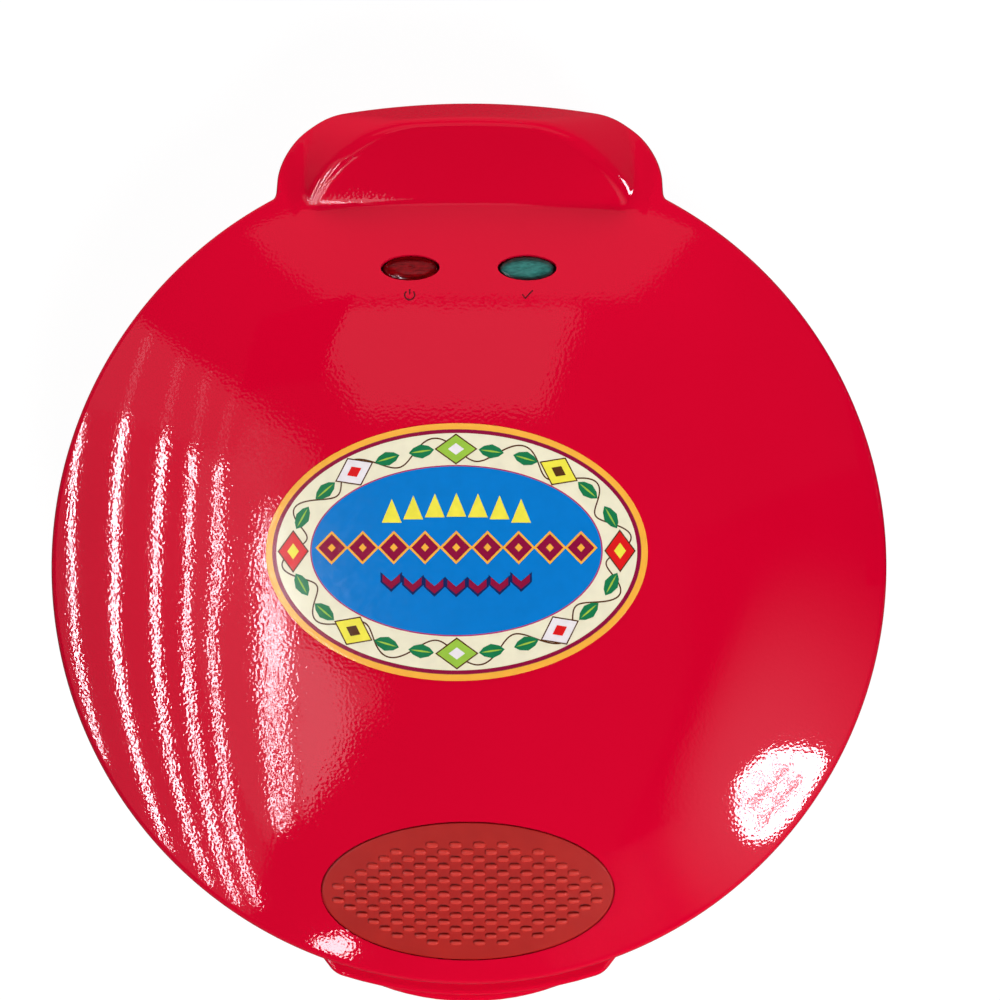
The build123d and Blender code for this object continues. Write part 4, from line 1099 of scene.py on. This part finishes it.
def knuckle_mesh():
    points, faces = [], []
    for side in (-1, 1):
        rib_places = (side * knuckle_ends[0], side * (knuckle_ends[1] - rib_thickness))
        for part in (knuckle_tube(side), *(knuckle_rib(side, x) for x in rib_places)):
            base = len(points)
            points += part[0]
            faces += [tuple(base + corner for corner in face) for face in part[1]]
    return outward(mesh_from("lid_knuckles", points, faces))


knuckles = add_object("lid_hinge_knuckles", knuckle_mesh())
knuckles.data.materials.append(red_plastic)
smooth(knuckles, 40.0)
finish_piece(knuckles, "lid", "red_plastic")

# ---------------------------------------------------------------- base bowl and frames
# The base is a bowl in the lid's glossy red plastic, with vents, a front lip and a finger tab. Black
# heat-proof frames fill the rims of base and lid round the plates.
cad_material(red_plastic, "base_bowl")
black_plastic = surface("black_plastic", (0.030, 0.030, 0.032), (0.020, 0.020, 0.022), patch=60.0,
                        rough=(0.32, 0.45), grain=2200.0, height=0.02)
cad_material(black_plastic, "base_frame", "lid_frame")

# ---------------------------------------------------------------- cooking plates and heaters
# Die-cast aluminium plates with a dark non-stick coat carry the wedge pockets. A tubular element
# in a heat-darkened steel sheath lies behind each, over a bright sheet reflector.
nonstick = surface("nonstick_coat", (0.060, 0.058, 0.060), (0.028, 0.027, 0.030), patch=900.0,
                   rough=(0.26, 0.42), grain=1900.0, height=0.03)
cad_material(nonstick, "lower_plate", "upper_plate")
element_steel = surface("element_steel", (0.30, 0.26, 0.22), (0.16, 0.13, 0.12), patch=90.0,
                        rough=(0.35, 0.5), grain=1400.0, height=0.03, metallic=1.0)
cad_material(element_steel, "lower_element", "upper_element")
bright_sheet = surface("bright_sheet", (0.80, 0.80, 0.81), (0.66, 0.66, 0.68), patch=40.0, rough=(0.18, 0.3),
                       grain=700.0, height=0.02, metallic=1.0, stretch=(1, 9, 1))
cad_material(bright_sheet, "lower_reflector", "upper_reflector")

# ---------------------------------------------------------------- screws, pins and clip
# Zinc-plated steel screws hold plates, reflectors, frames and cover. The hinge pins are turned
# steel, and a bent steel strip clips the fuse.
zinc_steel = surface("zinc_steel", (0.66, 0.67, 0.69), (0.50, 0.51, 0.54), patch=260.0, rough=(0.25, 0.4),
                     grain=2600.0, height=0.02, metallic=1.0)
cad_material(zinc_steel, "base_screws", "lid_screws", "lower_plate_screws", "upper_plate_screws",
             "lower_reflector_screws", "upper_reflector_screws", "thermostat_screws", "fuse_screws",
             "fuse_clip")
pin_steel = surface("pin_steel", (0.60, 0.60, 0.62), (0.48, 0.48, 0.50), patch=300.0, rough=(0.2, 0.32),
                    grain=1800.0, height=0.015, metallic=1.0, stretch=(1, 6, 6))
cad_material(pin_steel, "hinge_pin_left", "hinge_pin_right")

# ---------------------------------------------------------------- electrical fittings
# A ceramic-cased thermostat and an off-white terminal block serve the base, and a metal-cased
# thermal fuse and two clear bulbs on an off-white bracket serve the lid.
ceramic = surface("ceramic_body", (0.82, 0.77, 0.68), (0.72, 0.67, 0.58), patch=120.0, rough=(0.55, 0.7),
                  grain=1500.0, height=0.05)
cad_material(ceramic, "thermostat")
moulded_white = surface("moulded_white", (0.76, 0.74, 0.68), (0.66, 0.64, 0.58), patch=90.0,
                        rough=(0.35, 0.5), grain=1900.0, height=0.02)
cad_material(moulded_white, "terminal_block", "lamp_bracket")
fuse_case = surface("fuse_case", (0.70, 0.64, 0.50), (0.55, 0.50, 0.40), patch=200.0, rough=(0.25, 0.4),
                    grain=1600.0, height=0.02, metallic=1.0)
cad_material(fuse_case, "thermal_fuse")
bulb_glass = surface("bulb_glass", (0.92, 0.90, 0.86), (0.84, 0.82, 0.78), patch=200.0, rough=(0.02, 0.06),
                     grain=900.0, height=0.004)
principled(bulb_glass).inputs["Transmission Weight"].default_value = 0.9
cad_material(bulb_glass, "power_bulb", "ready_bulb")

# ---------------------------------------------------------------- feet and cord bush
# Four feet of moulded black rubber carry the base, and a bush of the same rubber is pressed into the
# hole that the cord passes at the back.
black_rubber = surface("black_rubber", (0.030, 0.030, 0.030), (0.016, 0.016, 0.016), patch=200.0,
                       rough=(0.65, 0.8), grain=1700.0, height=0.06)
cad_material(black_rubber, "foot_front_left", "foot_front_right", "foot_rear_left", "foot_rear_right",
             "cord_bush")
